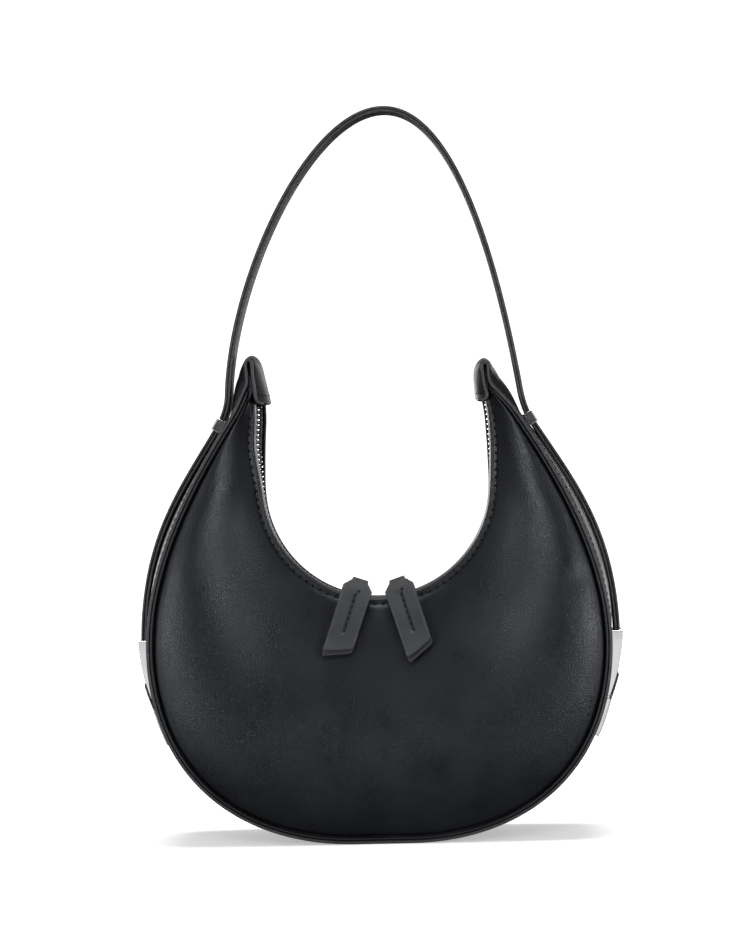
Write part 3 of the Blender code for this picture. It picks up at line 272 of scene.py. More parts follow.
def tip_points(shares):
    """Places round the horn's tip, from shares of its width and height."""
    return np.array([(TIP_X + TIP_WIDTH * a, TAB_BOTTOM + (TIP_TOP - TAB_BOTTOM) * b) for a, b in shares])


def band_lines():
    """Edge, middle and depth of half the band: the dense flank, then a curve round the tip and down the tab."""
    flank = flank_path(70, 80)
    crown = flank_crown(flank)
    edge = np.concatenate([flank[-1:], tip_points(TIP_EDGE_SHARES)])
    top = np.concatenate([crown[-1:], tip_points(TIP_CROWN_SHARES)])
    lead = np.concatenate([flank[-2:-1], crown[-2:-1]], axis=1)
    both = np.concatenate([lead, np.concatenate([edge, top], axis=1)])
    both = smooth(both, 10)[10:]
    depth = np.linspace(half_depth(HORN_NECK[1]), TIP_HALF_DEPTH, len(both))
    return (np.concatenate([flank[:-1], both[:, :2]]), np.concatenate([crown[:-1], both[:, 2:]]),
            np.concatenate([half_depth(flank[:-1, 1]), depth]))


def mouth_path(radius, top, arc_steps, wall_steps):
    """Half a line round the mouth: a quarter circle, then a wall that leans in with the square of its height."""
    angle = np.linspace(0.0, pi / 2, arc_steps + 1)
    arc = np.stack([radius * np.sin(angle), MOUTH_CENTRE_Z - radius * np.cos(angle)], axis=1)
    rise = np.linspace(0.0, top - MOUTH_CENTRE_Z, wall_steps + 1)[1:]
    lean = WALL_LEAN_IN * (rise / (TAB_BOTTOM - MOUTH_CENTRE_Z)) ** 2
    wall = np.stack([radius - lean, MOUTH_CENTRE_Z + rise], axis=1)
    return np.concatenate([arc, wall])


def on_flank(heights):
    """Points on the middle of the band at heights, with outward normals."""
    crown = flank_crown(flank_path())
    out = normals(crown)
    high = crown[:, 1] > WIDEST_HEIGHT / 4
    z, crown, out = crown[high][:, 1], crown[high], out[high]
    point = np.stack([np.interp(heights, z, crown[:, k]) for k in range(2)], axis=-1)
    normal = np.stack([np.interp(heights, z, out[:, k]) for k in range(2)], axis=-1)
    return point, unit(normal)


def belt_thick():
    """Thickness of the strap's two layers together."""
    return 2 * STRAP_LAYER + GAP


def keeper_frame():
    """Middle of the right keeper, its normal and its upward tangent."""
    point, normal = on_flank(HORN_NECK[1] - KEEPER_BELOW_NECK)
    rise = belt_thick() + 2 * GAP + 2 * KEEPER_WALL
    return point + normal * (GAP + rise / 2), normal, np.array([-normal[1], normal[0]])


def strap_line():
    """Middle line of the whole strap: left tail, bend, arch, bend and right tail, from sleeve to sleeve."""
    keeper, _, tangent = keeper_frame()
    joint = keeper + (-STRAP_SET_IN, (KEEPER_LENGTH + STRAP_WIDTH) / 2 + STRAP_BEND_CLEARANCE)
    ups = [np.array([-sin(lean), cos(lean)]) for lean in STRAP_LEANS]
    bends = [bezier(joint, joint - up * STRAP_BEND_HANDLE, keeper + tangent * STRAP_BEND_HANDLE, keeper) for up in ups]
    low = SLEEVE_TOP - SLEEVE_SOCKET_DEPTH + GAP
    foot, normal = on_flank(low)
    foot = foot + normal * (SLEEVE_STAND_OFF + SLEEVE_WALL + GAP + belt_thick() / 2)
    crown = flank_crown(flank_path())
    out = normals(crown)
    part = (crown[:, 1] > low) & (crown[:, 1] < HORN_NECK[1] - KEEPER_BELOW_NECK)
    line, out = crown[part][::-1], out[part][::-1]
    share = along(line)[:, None] / along(line)[-1]
    line = line + out * TAIL_LIFT * np.sin(pi * share) ** 2
    line = line + (keeper - line[0]) * (1.0 - share) + (foot - line[-1]) * share
    sides = [np.concatenate([bend, line[1:]]) for bend in bends]
    top = np.array(STRAP_TOP)
    flip = (-1.0, 1.0)
    left = bezier(joint * flip, joint * flip + ups[0] * flip * STRAP_SIDE_HANDLES[0],
                  top - (STRAP_TOP_HANDLES[0], 0.0), top)
    right = bezier(top, top + (STRAP_TOP_HANDLES[1], 0.0), joint + ups[1] * STRAP_SIDE_HANDLES[1], joint)
    return np.concatenate([sides[0][::-1] * flip, left[1:], right[1:], sides[1][1:]])


# Closed bodies from grids. A body is (points, four-sided faces, corner UVs in metres, rim share at each point).


def grid_quads(rows, cols, wrap_rows=False, wrap_cols=False):
    """Index quads between neighbours of a grid; a wrapped side closes on itself."""
    i = np.arange(rows if wrap_rows else rows - 1)[:, None]
    j = np.arange(cols if wrap_cols else cols - 1)[None, :]
    i2, j2 = (i + 1) % rows, (j + 1) % cols
    return np.stack([i * cols + j, i2 * cols + j, i2 * cols + j2, i * cols + j2], axis=-1).reshape(-1, 4)


def grid_uvs(u, v):
    """Corner UVs of a grid from distances along its rows and round its columns, one longer where it wraps."""
    low, high = np.broadcast_arrays(u[:-1, None], v[None, :-1]), np.broadcast_arrays(u[1:, None], v[None, 1:])
    corners = [(low[0], low[1]), (high[0], low[1]), (high[0], high[1]), (low[0], high[1])]
    return np.stack([np.stack(c, axis=-1) for c in corners], axis=2).reshape(-1, 4, 2)


def cap_quads(count, base, flip):
    """Quads that close one end of a tube: each point of its upper half meets its mirror point in the lower half."""
    i = np.arange(count // 2 - 1)
    quads = np.stack([i, i + 1, count - 2 - i, count - 1 - i], axis=-1) + base
    return quads[:, ::-1] if flip else quads


def volume_of(points, quads):
    """Six times a closed body's volume: the sum of each face's corner products."""
    a, b, c, d = (points[quads[:, k]] for k in range(4))
    return np.einsum("ij,ij->i", a, np.cross(b, c)).sum() + np.einsum("ij,ij->i", a, np.cross(c, d)).sum()


def outward(body):
    """Turn a closed body's faces outwards, from the sign of its volume."""
    points, quads, uvs, rim = body
    if volume_of(points, quads) < 0.0:
        quads, uvs = quads[:, ::-1], uvs[:, ::-1]
    return points, quads, uvs, rim


def tube(loops, wrap=False, rim=None):
    """A body from closed loops: loops is (stations, points, 3), and it joins its ends or caps them."""
    loops = np.asarray(loops, float)
    rows, cols = loops.shape[:2]
    middle = loops.mean(axis=1)
    closed = np.concatenate([middle, middle[:1]]) if wrap else middle
    u = along(closed)
    ring = loops[rows // 2]
    v = along(np.concatenate([ring, ring[:1]]))
    quads = grid_quads(rows, cols, wrap, True)
    uvs = grid_uvs(u, v)
    if not wrap:
        caps = [cap_quads(cols, 0, False), cap_quads(cols, (rows - 1) * cols, True)]
        for cap in caps:
            place = loops.reshape(-1, 3)[cap]
            quads = np.concatenate([quads, cap])
            uvs = np.concatenate([uvs, place[..., :2]])
    edge = np.zeros((rows, cols)) if rim is None else np.broadcast_to(rim, (rows, cols))
    return outward((loops.reshape(-1, 3), quads, uvs, edge.reshape(-1)))


def grid_normals(grid):
    """Unit normals of a grid: the cross product of its two slopes."""
    return unit(np.cross(np.gradient(grid, axis=0), np.gradient(grid, axis=1)))


def sheet_body(grid, thickness, look, round_steps=3, start=0.0, rim_reach=0.0009, round_ends=False):
    """A sheet of leather: the grid is its outer side, and each long edge is half a circle across its thickness.

    look is a rough outward direction at the grid's middle point. start is how far the sheet lies behind the grid.
    """
    grid = np.asarray(grid, float)
    normal = grid_normals(grid)
    if normal[grid.shape[0] // 2, grid.shape[1] // 2] @ np.asarray(look, float) < 0.0:
        normal = -normal
    core = grid - normal * (start + thickness / 2)
    turn = np.arange(round_steps, 0, -1) / (round_steps + 0.5) * pi / 2
    first, last = unit(core[:, 0] - core[:, 1]), unit(core[:, -1] - core[:, -2])
    centre = np.concatenate([np.repeat(core[:, :1], round_steps, 1), core,
                             np.repeat(core[:, -1:], round_steps, 1)], axis=1)
    face = np.concatenate([normal[:, :1] * np.cos(turn)[None, :, None], normal,
                           normal[:, -1:] * np.cos(turn[::-1])[None, :, None]], axis=1)
    side = np.zeros_like(face)
    side[:, :round_steps] = first[:, None] * np.sin(turn)[None, :, None]
    side[:, -round_steps:] = last[:, None] * np.sin(turn[::-1])[None, :, None]
    if round_ends:
        lift = np.array([60.0, 30.0]) * pi / 180
        ends = []
        for row, beside in ((0, 1), (-1, -2)):
            way = unit(centre[row] - centre[beside])
            extra_centre = centre[row][None] + way[None] * (np.sin(lift) * thickness / 2)[:, None, None]
            extra_face = face[row][None] * np.cos(lift)[:, None, None]
            extra_side = side[row][None] * np.cos(lift)[:, None, None]
            ends.append((extra_centre, extra_face, extra_side))
        start_c, start_f, start_s = ends[0]
        end_c, end_f, end_s = (e[::-1] for e in ends[1])
        centre = np.concatenate([start_c, centre, end_c])
        face = np.concatenate([start_f, face, end_f])
        side = np.concatenate([start_s, side, end_s])
    upper = centre + (face + side) * thickness / 2
    lower = centre + (side - face) * thickness / 2
    row = centre.shape[0] // 2
    run = along(centre[row])
    reach = np.minimum(run - run[round_steps], run[-1 - round_steps] - run)
    rim = np.clip(1.0 - reach / rim_reach, 0.0, 1.0)
    return tube(np.concatenate([upper, lower[:, ::-1]], axis=1), rim=np.concatenate([rim, rim[::-1]]))


def rounded_loop(width, height, radius, steps=4):
    """A rectangle with quarter-circle corners, as (a, b) points: its upper half left to right, then the lower back."""
    turn = np.linspace(0.0, pi / 2, steps + 1)
    a, b = width / 2 - radius, height / 2 - radius
    left = np.stack([-a - radius * np.cos(turn), b + radius * np.sin(turn)], axis=1)
    right = left[::-1] * (-1.0, 1.0)
    upper = np.concatenate([left, right])
    return np.concatenate([upper, upper[::-1] * (1.0, -1.0)])


def circle_loop(radius, count):
    """A circle of points that starts half a step above its left end, so that its halves mirror."""
    turn = pi - (np.arange(count) + 0.5) * 2 * pi / count
    return np.stack([radius * np.cos(turn), radius * np.sin(turn)], axis=1)


def carried(path, across, up, section, wrap=False):
    """A section carried along a path: each point is the path's, plus across times a, plus up times b."""
    across, up = (np.broadcast_to(way, path.shape) for way in (across, up))
    section = np.asarray(section, float)
    if section.ndim == 2:
        section = np.broadcast_to(section, (len(path),) + section.shape)
    loops = path[:, None] + across[:, None] * section[..., :1] + up[:, None] * section[..., 1:]
    return tube(loops, wrap)


def joined(bodies):
    """Several bodies as one list of points and faces."""
    counts = np.cumsum([0] + [len(b[0]) for b in bodies[:-1]])
    return (np.concatenate([b[0] for b in bodies]), np.concatenate([b[1] + n for b, n in zip(bodies, counts)]),
            np.concatenate([b[2] for b in bodies]), np.concatenate([b[3] for b in bodies]))


def copies(body, places, first, second, third):
    """The same small body at many places: its x, y and z run along the three directions at each place."""
    points, quads, uvs, rim = body
    spread = (places[:, None] + points[None, :, :1] * first[:, None] + points[None, :, 1:2] * second[:, None]
              + points[None, :, 2:] * third[:, None])
    count, size = spread.shape[:2]
    quads = (quads[None] + (np.arange(count) * size)[:, None, None]).reshape(-1, 4)
    return outward((spread.reshape(-1, 3), quads, np.tile(uvs, (count, 1, 1)), np.tile(rim, count)))


def flipped(body):
    """The mirror image of a body in the middle plane x = 0."""
    points, quads, uvs, rim = body
    return points * (-1.0, 1.0, 1.0), quads[:, ::-1], uvs[:, ::-1], rim


def in_space(path, y=0.0):
    """XZ points as points in space at a distance y from the middle plane."""
    return np.stack([path[..., 0], np.broadcast_to(y, path.shape[:-1]), path[..., 1]], axis=-1)


def stitch_body(length, thickness):
    """One stitch: a thread whose radius and height fall off with the square of the distance from its middle."""
    s = np.array([-1.0, -0.82, -0.4, 0.0, 0.4, 0.82, 1.0])
    radius = thickness / 2 * np.sqrt(np.maximum(1.05 - s * s, 0.05))
    path = np.stack([s * length / 2, s * 0.0, -0.55 * thickness * s**4], axis=1)
    return carried(path, (0.0, 1.0, 0.0), (0.0, 0.0, 1.0), circle_loop(1.0, 6)[None] * radius[:, None, None])


def stitch_row(line, normal, pitch, length, thickness, sink=0.25):
    """Stitches along a line in space, one at each pitch, sunk a little into the leather."""
    run = along(line)
    count = max(int(run[-1] / pitch), 1)
    marks = (np.arange(count) + 0.5) * run[-1] / count
    place = at_distances(line, marks)
    way = unit(at_distances(line, marks + pitch / 4) - at_distances(line, marks - pitch / 4))
    face = np.stack([np.interp(marks, run, normal[:, k]) for k in range(3)], axis=1)
    face = unit(face - way * np.einsum("ij,ij->i", face, way)[:, None])
    place = place + face * thickness * (0.5 - sink)
    return copies(stitch_body(length, thickness), place, way, np.cross(face, way), face)


# Objects.


def new_object(name, data):
    """An object with that data, linked to the scene."""
    obj = bpy.data.objects.new(name, data)
    bpy.context.scene.collection.objects.link(obj)
    return obj


def dress(obj, material):
    """Give an object's mesh one material."""
    obj.data.materials.clear()
    obj.data.materials.append(material)


def make_piece(name, body, material, rides=None, stands_for=(), crease=38.0):
    """Put a body into a mesh at the origin, with its UVs and rim share, and tie it to the frame when it rides on a
    body.
    """
    points, quads, uvs, rim = body
    mesh = bpy.data.meshes.new(name)
    count = len(quads)
    mesh.vertices.add(len(points))
    mesh.loops.add(4 * count)
    mesh.polygons.add(count)
    mesh.vertices.foreach_set("co", np.asarray(points, np.float32).ravel())
    mesh.loops.foreach_set("vertex_index", quads.astype(np.int32).ravel())
    mesh.polygons.foreach_set("loop_start", (np.arange(count) * 4).astype(np.int32))
    mesh.update(calc_edges=True)
    mesh.validate()
    layer = mesh.uv_layers.new(name="UVMap")
    layer.data.foreach_set("uv", np.asarray(uvs, np.float32).ravel())
    share = mesh.attributes.new("rim", "FLOAT", "POINT")
    share.data.foreach_set("value", np.asarray(rim, np.float32))
    mesh.shade_smooth()
    mesh.set_sharp_from_angle(angle=radians(crease))
    obj = new_object(name, mesh)
    dress(obj, material)
    if rides:
        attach(obj, rides)
    if stands_for:
        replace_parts(obj, *stands_for)
    return obj


def soften(obj, width, segments=3, angle=32.0):
    """Round the sharp edges of a fitting."""
    bevel = obj.modifiers.new("edge", "BEVEL")
    bevel.width = width
    bevel.segments = segments
    bevel.limit_method = "ANGLE"
    bevel.angle_limit = radians(angle)
    bevel.harden_normals = True
    return obj


def cut_away(obj, cutter):
    """Take one object's solid out of another, keep the result as its mesh, and remove the cutter."""
    cut = obj.modifiers.new("cut", "BOOLEAN")
    cut.operation, cut.solver, cut.object = "DIFFERENCE", "EXACT", cutter
    bpy.context.view_layer.update()
    solid = obj.evaluated_get(bpy.context.evaluated_depsgraph_get())
    mesh = bpy.data.meshes.new_from_object(solid)
    obj.modifiers.clear()
    obj.data = mesh
    bpy.data.objects.remove(cutter, do_unlink=True)
    return obj


# Finishes. A group puts out masks and heights; each material mixes its own colours with them.


def add_node(tree, kind, place, **settings):
    made = tree.nodes.new(kind)
    made.location = place
    for key, value in settings.items():
        setattr(made, key, value)
    return made


def maths(tree, operation, place, first, second=None, third=None):
    """A Math node with links or numbers on its inputs; its output is returned."""
    made = add_node(tree, "ShaderNodeMath", place, operation=operation)
    for socket, value in zip(made.inputs, (first, second, third)):
        if isinstance(value, bpy.types.NodeSocket):
            tree.links.new(value, socket)
        elif value is not None:
            socket.default_value = value
    return made.outputs[0]


def noise_node(tree, place, vector, scale, detail, distortion=0.0):
    """A noise texture over a linked vector."""
    made = add_node(tree, "ShaderNodeTexNoise", place)
    for key, value in (("Scale", scale), ("Detail", detail), ("Distortion", distortion)):
        made.inputs[key].default_value = value
    tree.links.new(vector, made.inputs["Vector"])
    return made


def new_group(name, numbers, outputs):
    """An empty shader node group with a vector and named numbers going in, and named numbers coming out."""
    group = bpy.data.node_groups.new(name, "ShaderNodeTree")
    group.interface.new_socket(name="Vector", in_out="INPUT", socket_type="NodeSocketVector")
    for label, value in numbers:
        socket = group.interface.new_socket(name=label, in_out="INPUT", socket_type="NodeSocketFloat")
        socket.default_value = value
    for label in outputs:
        group.interface.new_socket(name=label, in_out="OUTPUT", socket_type="NodeSocketFloat")
    return group, add_node(group, "NodeGroupInput", (-900, 0)), add_node(group, "NodeGroupOutput", (900, 0))


def leather_grain_group():
    """Fine pebbles between hair lines, broad cloudy tone, small pores, and patches of soft creases."""
    group, entry, out = new_group("Leather Grain", [("Pebble", 0.0009)], ["Pebbles", "Cloud", "Pores", "Creases"])
    vector = entry.outputs["Vector"]
    scale = maths(group, "DIVIDE", (-700, -200), 1.0, entry.outputs["Pebble"])
    warp = noise_node(group, (-700, 200), vector, 260.0, 2.0)
    shift = add_node(group, "ShaderNodeVectorMath", (-500, 200), operation="SCALE")
    shift.inputs["Scale"].default_value = 0.0011
    group.links.new(warp.outputs["Color"], shift.inputs[0])
    place = add_node(group, "ShaderNodeVectorMath", (-320, 120), operation="ADD")
    group.links.new(vector, place.inputs[0])
    group.links.new(shift.outputs[0], place.inputs[1])
    cells = add_node(group, "ShaderNodeTexVoronoi", (-120, 160), feature="DISTANCE_TO_EDGE")
    group.links.new(place.outputs[0], cells.inputs["Vector"])
    group.links.new(scale, cells.inputs["Scale"])
    pebble = add_node(group, "ShaderNodeMapRange", (120, 160), interpolation_type="SMOOTHSTEP")
    pebble.inputs["From Max"].default_value = 0.34
    group.links.new(cells.outputs["Distance"], pebble.inputs["Value"])
    cloud = noise_node(group, (-120, -140), vector, 42.0, 3.0)
    pores = noise_node(group, (-120, -400), vector, 2600.0, 1.0)
    bend = noise_node(group, (-700, -560), vector, 70.0, 3.0, 1.4)
    valley = maths(group, "ABSOLUTE", (-300, -560), maths(group, "SUBTRACT", (-500, -560), bend.outputs["Fac"], 0.5))
    fold = ranged(group, (-120, -560), valley, 0.0, 1.0, 0.0, 0.05)
    patch = ranged(group, (-120, -760), cloud.outputs["Fac"], 0.0, 1.0, 0.48, 0.66)
    keep = maths(group, "MULTIPLY", (120, -640), maths(group, "SUBTRACT", (60, -560), fold, 1.0), patch)
    group.links.new(keep, out.inputs["Creases"])
    group.links.new(pebble.outputs["Result"], out.inputs["Pebbles"])
    group.links.new(cloud.outputs["Fac"], out.inputs["Cloud"])
    group.links.new(pores.outputs["Fac"], out.inputs["Pores"])
    return group


def edge_wear_group():
    """Where a raised rim is rubbed: the piece's rim share, broken up by noise."""
    group, entry, out = new_group("Edge Wear", [("Amount", 0.5)], ["Rim", "Rubbed"])
    rim = add_node(group, "ShaderNodeAttribute", (-700, 200), attribute_name="rim")
    noise = noise_node(group, (-700, -100), entry.outputs["Vector"], 330.0, 4.0)
    spread = add_node(group, "ShaderNodeMapRange", (-450, -100))
    spread.inputs["From Min"].default_value = 0.38
    spread.inputs["From Max"].default_value = 0.66
    group.links.new(noise.outputs["Fac"], spread.inputs["Value"])
    rubbed = maths(group, "MULTIPLY", (-200, 60), rim.outputs["Fac"], spread.outputs["Result"])
    rubbed = maths(group, "MULTIPLY", (0, 60), rubbed, entry.outputs["Amount"])
    group.links.new(rim.outputs["Fac"], out.inputs["Rim"])
    group.links.new(rubbed, out.inputs["Rubbed"])
    return group


def weave_group():
    """Plain weave from the piece's UVs in metres: two sine ribs at right angles that pass over each other."""
    group, entry, out = new_group("Plain Weave", [("Thread", 0.0004)], ["Height", "Threads"])
    parts = add_node(group, "ShaderNodeSeparateXYZ", (-700, 100))
    group.links.new(entry.outputs["Vector"], parts.inputs[0])
    turn = maths(group, "DIVIDE", (-700, -150), pi, entry.outputs["Thread"])
    waves = []
    for axis, y in (("X", 200), ("Y", -50)):
        phase = maths(group, "MULTIPLY", (-480, y), parts.outputs[axis], turn)
        waves.append(maths(group, "SINE", (-300, y), phase))
    cross = maths(group, "MULTIPLY", (-100, 60), waves[0], waves[1])
    over = maths(group, "MULTIPLY_ADD", (80, 60), cross, 0.5, 0.5)
    ribs = [maths(group, "ABSOLUTE", (-100, y), wave) for wave, y in zip(waves, (240, -160))]
    low, high = (maths(group, "MULTIPLY", (260, y), rib, share) for rib, share, y in
                 ((ribs[0], over, 200), (ribs[1], maths(group, "SUBTRACT", (260, -40), 1.0, over), -160)))
    height = maths(group, "MAXIMUM", (460, 0), low, high)
    group.links.new(height, out.inputs["Height"])
    group.links.new(over, out.inputs["Threads"])
    return group


def polish_group():
    """Polished metal: broad smudges and very fine hairlines drawn out along z."""
    group, entry, out = new_group("Metal Polish", [], ["Smudge", "Hairline"])
    smudge = noise_node(group, (-300, 160), entry.outputs["Vector"], 90.0, 3.0)
    stretch = add_node(group, "ShaderNodeVectorMath", (-500, -160), operation="MULTIPLY")
    stretch.inputs[1].default_value = (1.0, 1.0, 0.04)
    group.links.new(entry.outputs["Vector"], stretch.inputs[0])
    lines = noise_node(group, (-300, -160), stretch.outputs[0], 5200.0, 2.0)
    group.links.new(smudge.outputs["Fac"], out.inputs["Smudge"])
    group.links.new(lines.outputs["Fac"], out.inputs["Hairline"])
    return group


GROUPS = {"Leather Grain": leather_grain_group, "Edge Wear": edge_wear_group,
          "Plain Weave": weave_group, "Metal Polish": polish_group}


def use_group(tree, name, place, vector, **values):
    """The group of that name, built when first asked for, with its vector linked and its numbers set."""
    made = add_node(tree, "ShaderNodeGroup", place)
    made.node_tree = bpy.data.node_groups.get(name) or GROUPS[name]()
    tree.links.new(vector, made.inputs["Vector"])
    for key, value in values.items():
        made.inputs[key].default_value = value
    return made


def mixed(tree, place, share, first, second):
    """A colour mix by a linked share, from two colours or links."""
    made = add_node(tree, "ShaderNodeMix", place, data_type="RGBA")
    tree.links.new(share, made.inputs[0])
    for socket, value in ((made.inputs[6], first), (made.inputs[7], second)):
        if isinstance(value, bpy.types.NodeSocket):
            tree.links.new(value, socket)
        else:
            socket.default_value = (*value[:3], 1.0)
    return made.outputs[2]


def ranged(tree, place, value, low, high, start=0.0, end=1.0):
    """A value from start to end, spread from low to high."""
    made = add_node(tree, "ShaderNodeMapRange", place)
    for socket, number in zip(made.inputs[1:5], (start, end, low, high)):
        socket.default_value = number
    tree.links.new(value, made.inputs["Value"])
    return made.outputs["Result"]


def bumped(tree, place, layers, shader):
    """Bump nodes one after another, from (height link, distance in metres) pairs, into the shader's normal."""
    normal = None
    for i, (height, distance) in enumerate(layers):
        bump = add_node(tree, "ShaderNodeBump", (place[0] + 180 * i, place[1]))
        bump.inputs["Strength"].default_value = 1.0
        bump.inputs["Distance"].default_value = distance
        tree.links.new(height, bump.inputs["Height"])
        if normal:
            tree.links.new(normal, bump.inputs["Normal"])
        normal = bump.outputs["Normal"]
    tree.links.new(normal, shader.inputs["Normal"])


def new_material(name):
    """A material with its shader, its tree, and Object coordinates."""
    material = bpy.data.materials.new(name)
    material.use_nodes = True
    tree = material.node_tree
    place = add_node(tree, "ShaderNodeTexCoord", (-1300, 0))
    return material, tree, tree.nodes["Principled BSDF"], place


def tinted(colour, factor):
    """A colour made lighter or darker."""
    return tuple(min(c * factor, 1.0) for c in colour[:3])


def coat(tree, shader, colour, roughness):
    """Link a colour and a roughness to the shader."""
    tree.links.new(colour, shader.inputs["Base Color"])
    tree.links.new(roughness, shader.inputs["Roughness"])


# Strength and cool tint of the leather's reflections, and strength of the thread's.
LEATHER_GLOSS, LEATHER_SHEEN, THREAD_GLOSS = 0.24, (0.90, 0.94, 1.0, 1.0), 0.12
# Leathers: colour, roughness, pebbles as a share of the grain, depth of the pebbles and of the creases, and wear.
LEATHERS = {
    "leather": ("leather", 0.305, 1.0, 0.000040, 0.000005, 0.35),
    "strap_leather": ("leather", 0.36, 1.0, 0.000022, 0.000020, 0.5),
    "band_leather": ("band", 0.38, 1.0, 0.000014, 0.000020, 0.4),
    "edge_leather": ("band", 0.38, 1.0, 0.000022, 0.000020, 0.3),
    "pull_leather": ("pull", 0.50, 0.7, 0.000012, 0.000020, 0.6),
}
BOARD_COLOUR, FOAM_COLOUR = (0.180, 0.170, 0.150), (0.200, 0.200, 0.200)


def leather_finish(name, colour, edge_colour, roughness, pebble, depth, creased, wear):
    """Dyed leather with grain, painted shade in the gaps between its pebbles, a painted or folded rim, and rubbing
    along that rim.
    """
    material, tree, shader, place = new_material(name)
    grain = use_group(tree, "Leather Grain", (-1000, 200), place.outputs["Object"], Pebble=pebble)
    rim = use_group(tree, "Edge Wear", (-1000, -200), place.outputs["Object"], Amount=wear)
    tone = mixed(tree, (-700, 300), ranged(tree, (-850, 420), grain.outputs["Cloud"], 0.0, 1.0, 0.35, 0.65),
                 tinted(colour, 0.82), tinted(colour, 1.22))
    # Painted shade: creases is the colour darkened in the gaps between the grain's pebbles.
    gap_shade = ranged(tree, (-700, 120), grain.outputs["Pebbles"], 0.35, 0.0)
    creases = mixed(tree, (-520, 300), gap_shade, tone, tinted(colour, 0.55))
    painted = mixed(tree, (-340, 300), rim.outputs["Rim"], creases, edge_colour)
    rubbed = mixed(tree, (-160, 300), rim.outputs["Rubbed"], painted, tinted(edge_colour, 2.2))
    rough = ranged(tree, (-700, -80), grain.outputs["Cloud"], roughness - 0.05, roughness + 0.07, 0.3, 0.7)
    rougher = ranged(tree, (-520, -200), grain.outputs["Pebbles"], 0.08, 0.0)
    coat(tree, shader, rubbed, maths(tree, "MULTIPLY_ADD", (-340, -80), rougher, 1.0, rough))
    shader.inputs["Specular IOR Level"].default_value = LEATHER_GLOSS
    shader.inputs["Specular Tint"].default_value = LEATHER_SHEEN
    bumped(tree, (-520, -420), [(grain.outputs["Pebbles"], depth), (grain.outputs["Pores"], depth * 0.35),
                                (grain.outputs["Creases"], creased)], shader)
    return material


def cloth_finish(name, colour, thread, depth, roughness):
    """Woven cloth from the piece's own UVs, with a little fuzz in its tone and painted shade between its threads."""
    material, tree, shader, place = new_material(name)
    weave = use_group(tree, "Plain Weave", (-1000, 200), place.outputs["UV"], Thread=thread)
    grain = use_group(tree, "Leather Grain", (-1000, -200), place.outputs["Object"], Pebble=0.0014)
    tone = mixed(tree, (-700, 300), grain.outputs["Cloud"], tinted(colour, 0.75), tinted(colour, 1.25))
    # Painted shade: the colour is darkened between the weave's threads.
    gap_shade = ranged(tree, (-700, 100), weave.outputs["Height"], 0.55, 0.0)
    woven = mixed(tree, (-500, 300), gap_shade, tone, tinted(colour, 0.35))
    coat(tree, shader, woven, ranged(tree, (-500, -60), weave.outputs["Threads"], roughness - 0.08, roughness))
    shader.inputs["Sheen Weight"].default_value = 0.25
    bumped(tree, (-500, -380), [(weave.outputs["Height"], depth)], shader)
    return material


def metal_finish(name, colour, roughness):
    """Polished nickel: smudges move its roughness, and hairlines lift its normal a little."""
    material, tree, shader, place = new_material(name)
    polish = use_group(tree, "Metal Polish", (-900, 100), place.outputs["Object"])
    smudge = polish.outputs["Smudge"]
    tone = mixed(tree, (-500, 300), ranged(tree, (-700, 300), smudge, 0.0, 1.0, 0.3, 0.7),
                 tinted(colour, 0.93), tinted(colour, 1.03))
    coat(tree, shader, tone, ranged(tree, (-500, 0), smudge, roughness * 0.7, roughness * 1.5, 0.3, 0.7))
    shader.inputs["Metallic"].default_value = 1.0
    bumped(tree, (-500, -300), [(polish.outputs["Hairline"], 0.0000015)], shader)
    return material


def plain_finish(name, colour, roughness, scale, depth):
    """Board or foam: a mottled tone and a rough face from one noise."""
    material, tree, shader, place = new_material(name)
    mottle = noise_node(tree, (-900, 100), place.outputs["Object"], scale, 5.0).outputs["Fac"]
    tone = mixed(tree, (-500, 300), mottle, tinted(colour, 0.8), tinted(colour, 1.2))
    coat(tree, shader, tone, ranged(tree, (-500, 0), mottle, roughness - 0.1, roughness))
    bumped(tree, (-500, -300), [(mottle, depth)], shader)
    return material


def thread_finish(name, colour):
    """Twisted sewing thread: slanting stripes along each stitch's own UVs, with painted shade in the twist's grooves
    and painted light on its crowns.
    """
    material, tree, shader, place = new_material(name)
    wave = add_node(tree, "ShaderNodeTexWave", (-900, 100), wave_type="BANDS", bands_direction="DIAGONAL")
    wave.inputs["Scale"].default_value = 900.0
    tree.links.new(place.outputs["UV"], wave.inputs["Vector"])
    twist = wave.outputs["Fac"]
    # Painted shade and light: the colour runs darker and lighter with the twist's stripes.
    tone = mixed(tree, (-500, 300), twist, tinted(colour, 0.5), tinted(colour, 1.3))
    coat(tree, shader, tone, ranged(tree, (-500, 0), twist, 0.5, 0.65))
    shader.inputs["Specular IOR Level"].default_value = THREAD_GLOSS
    bumped(tree, (-500, -300), [(twist, 0.00004)], shader)
    return material


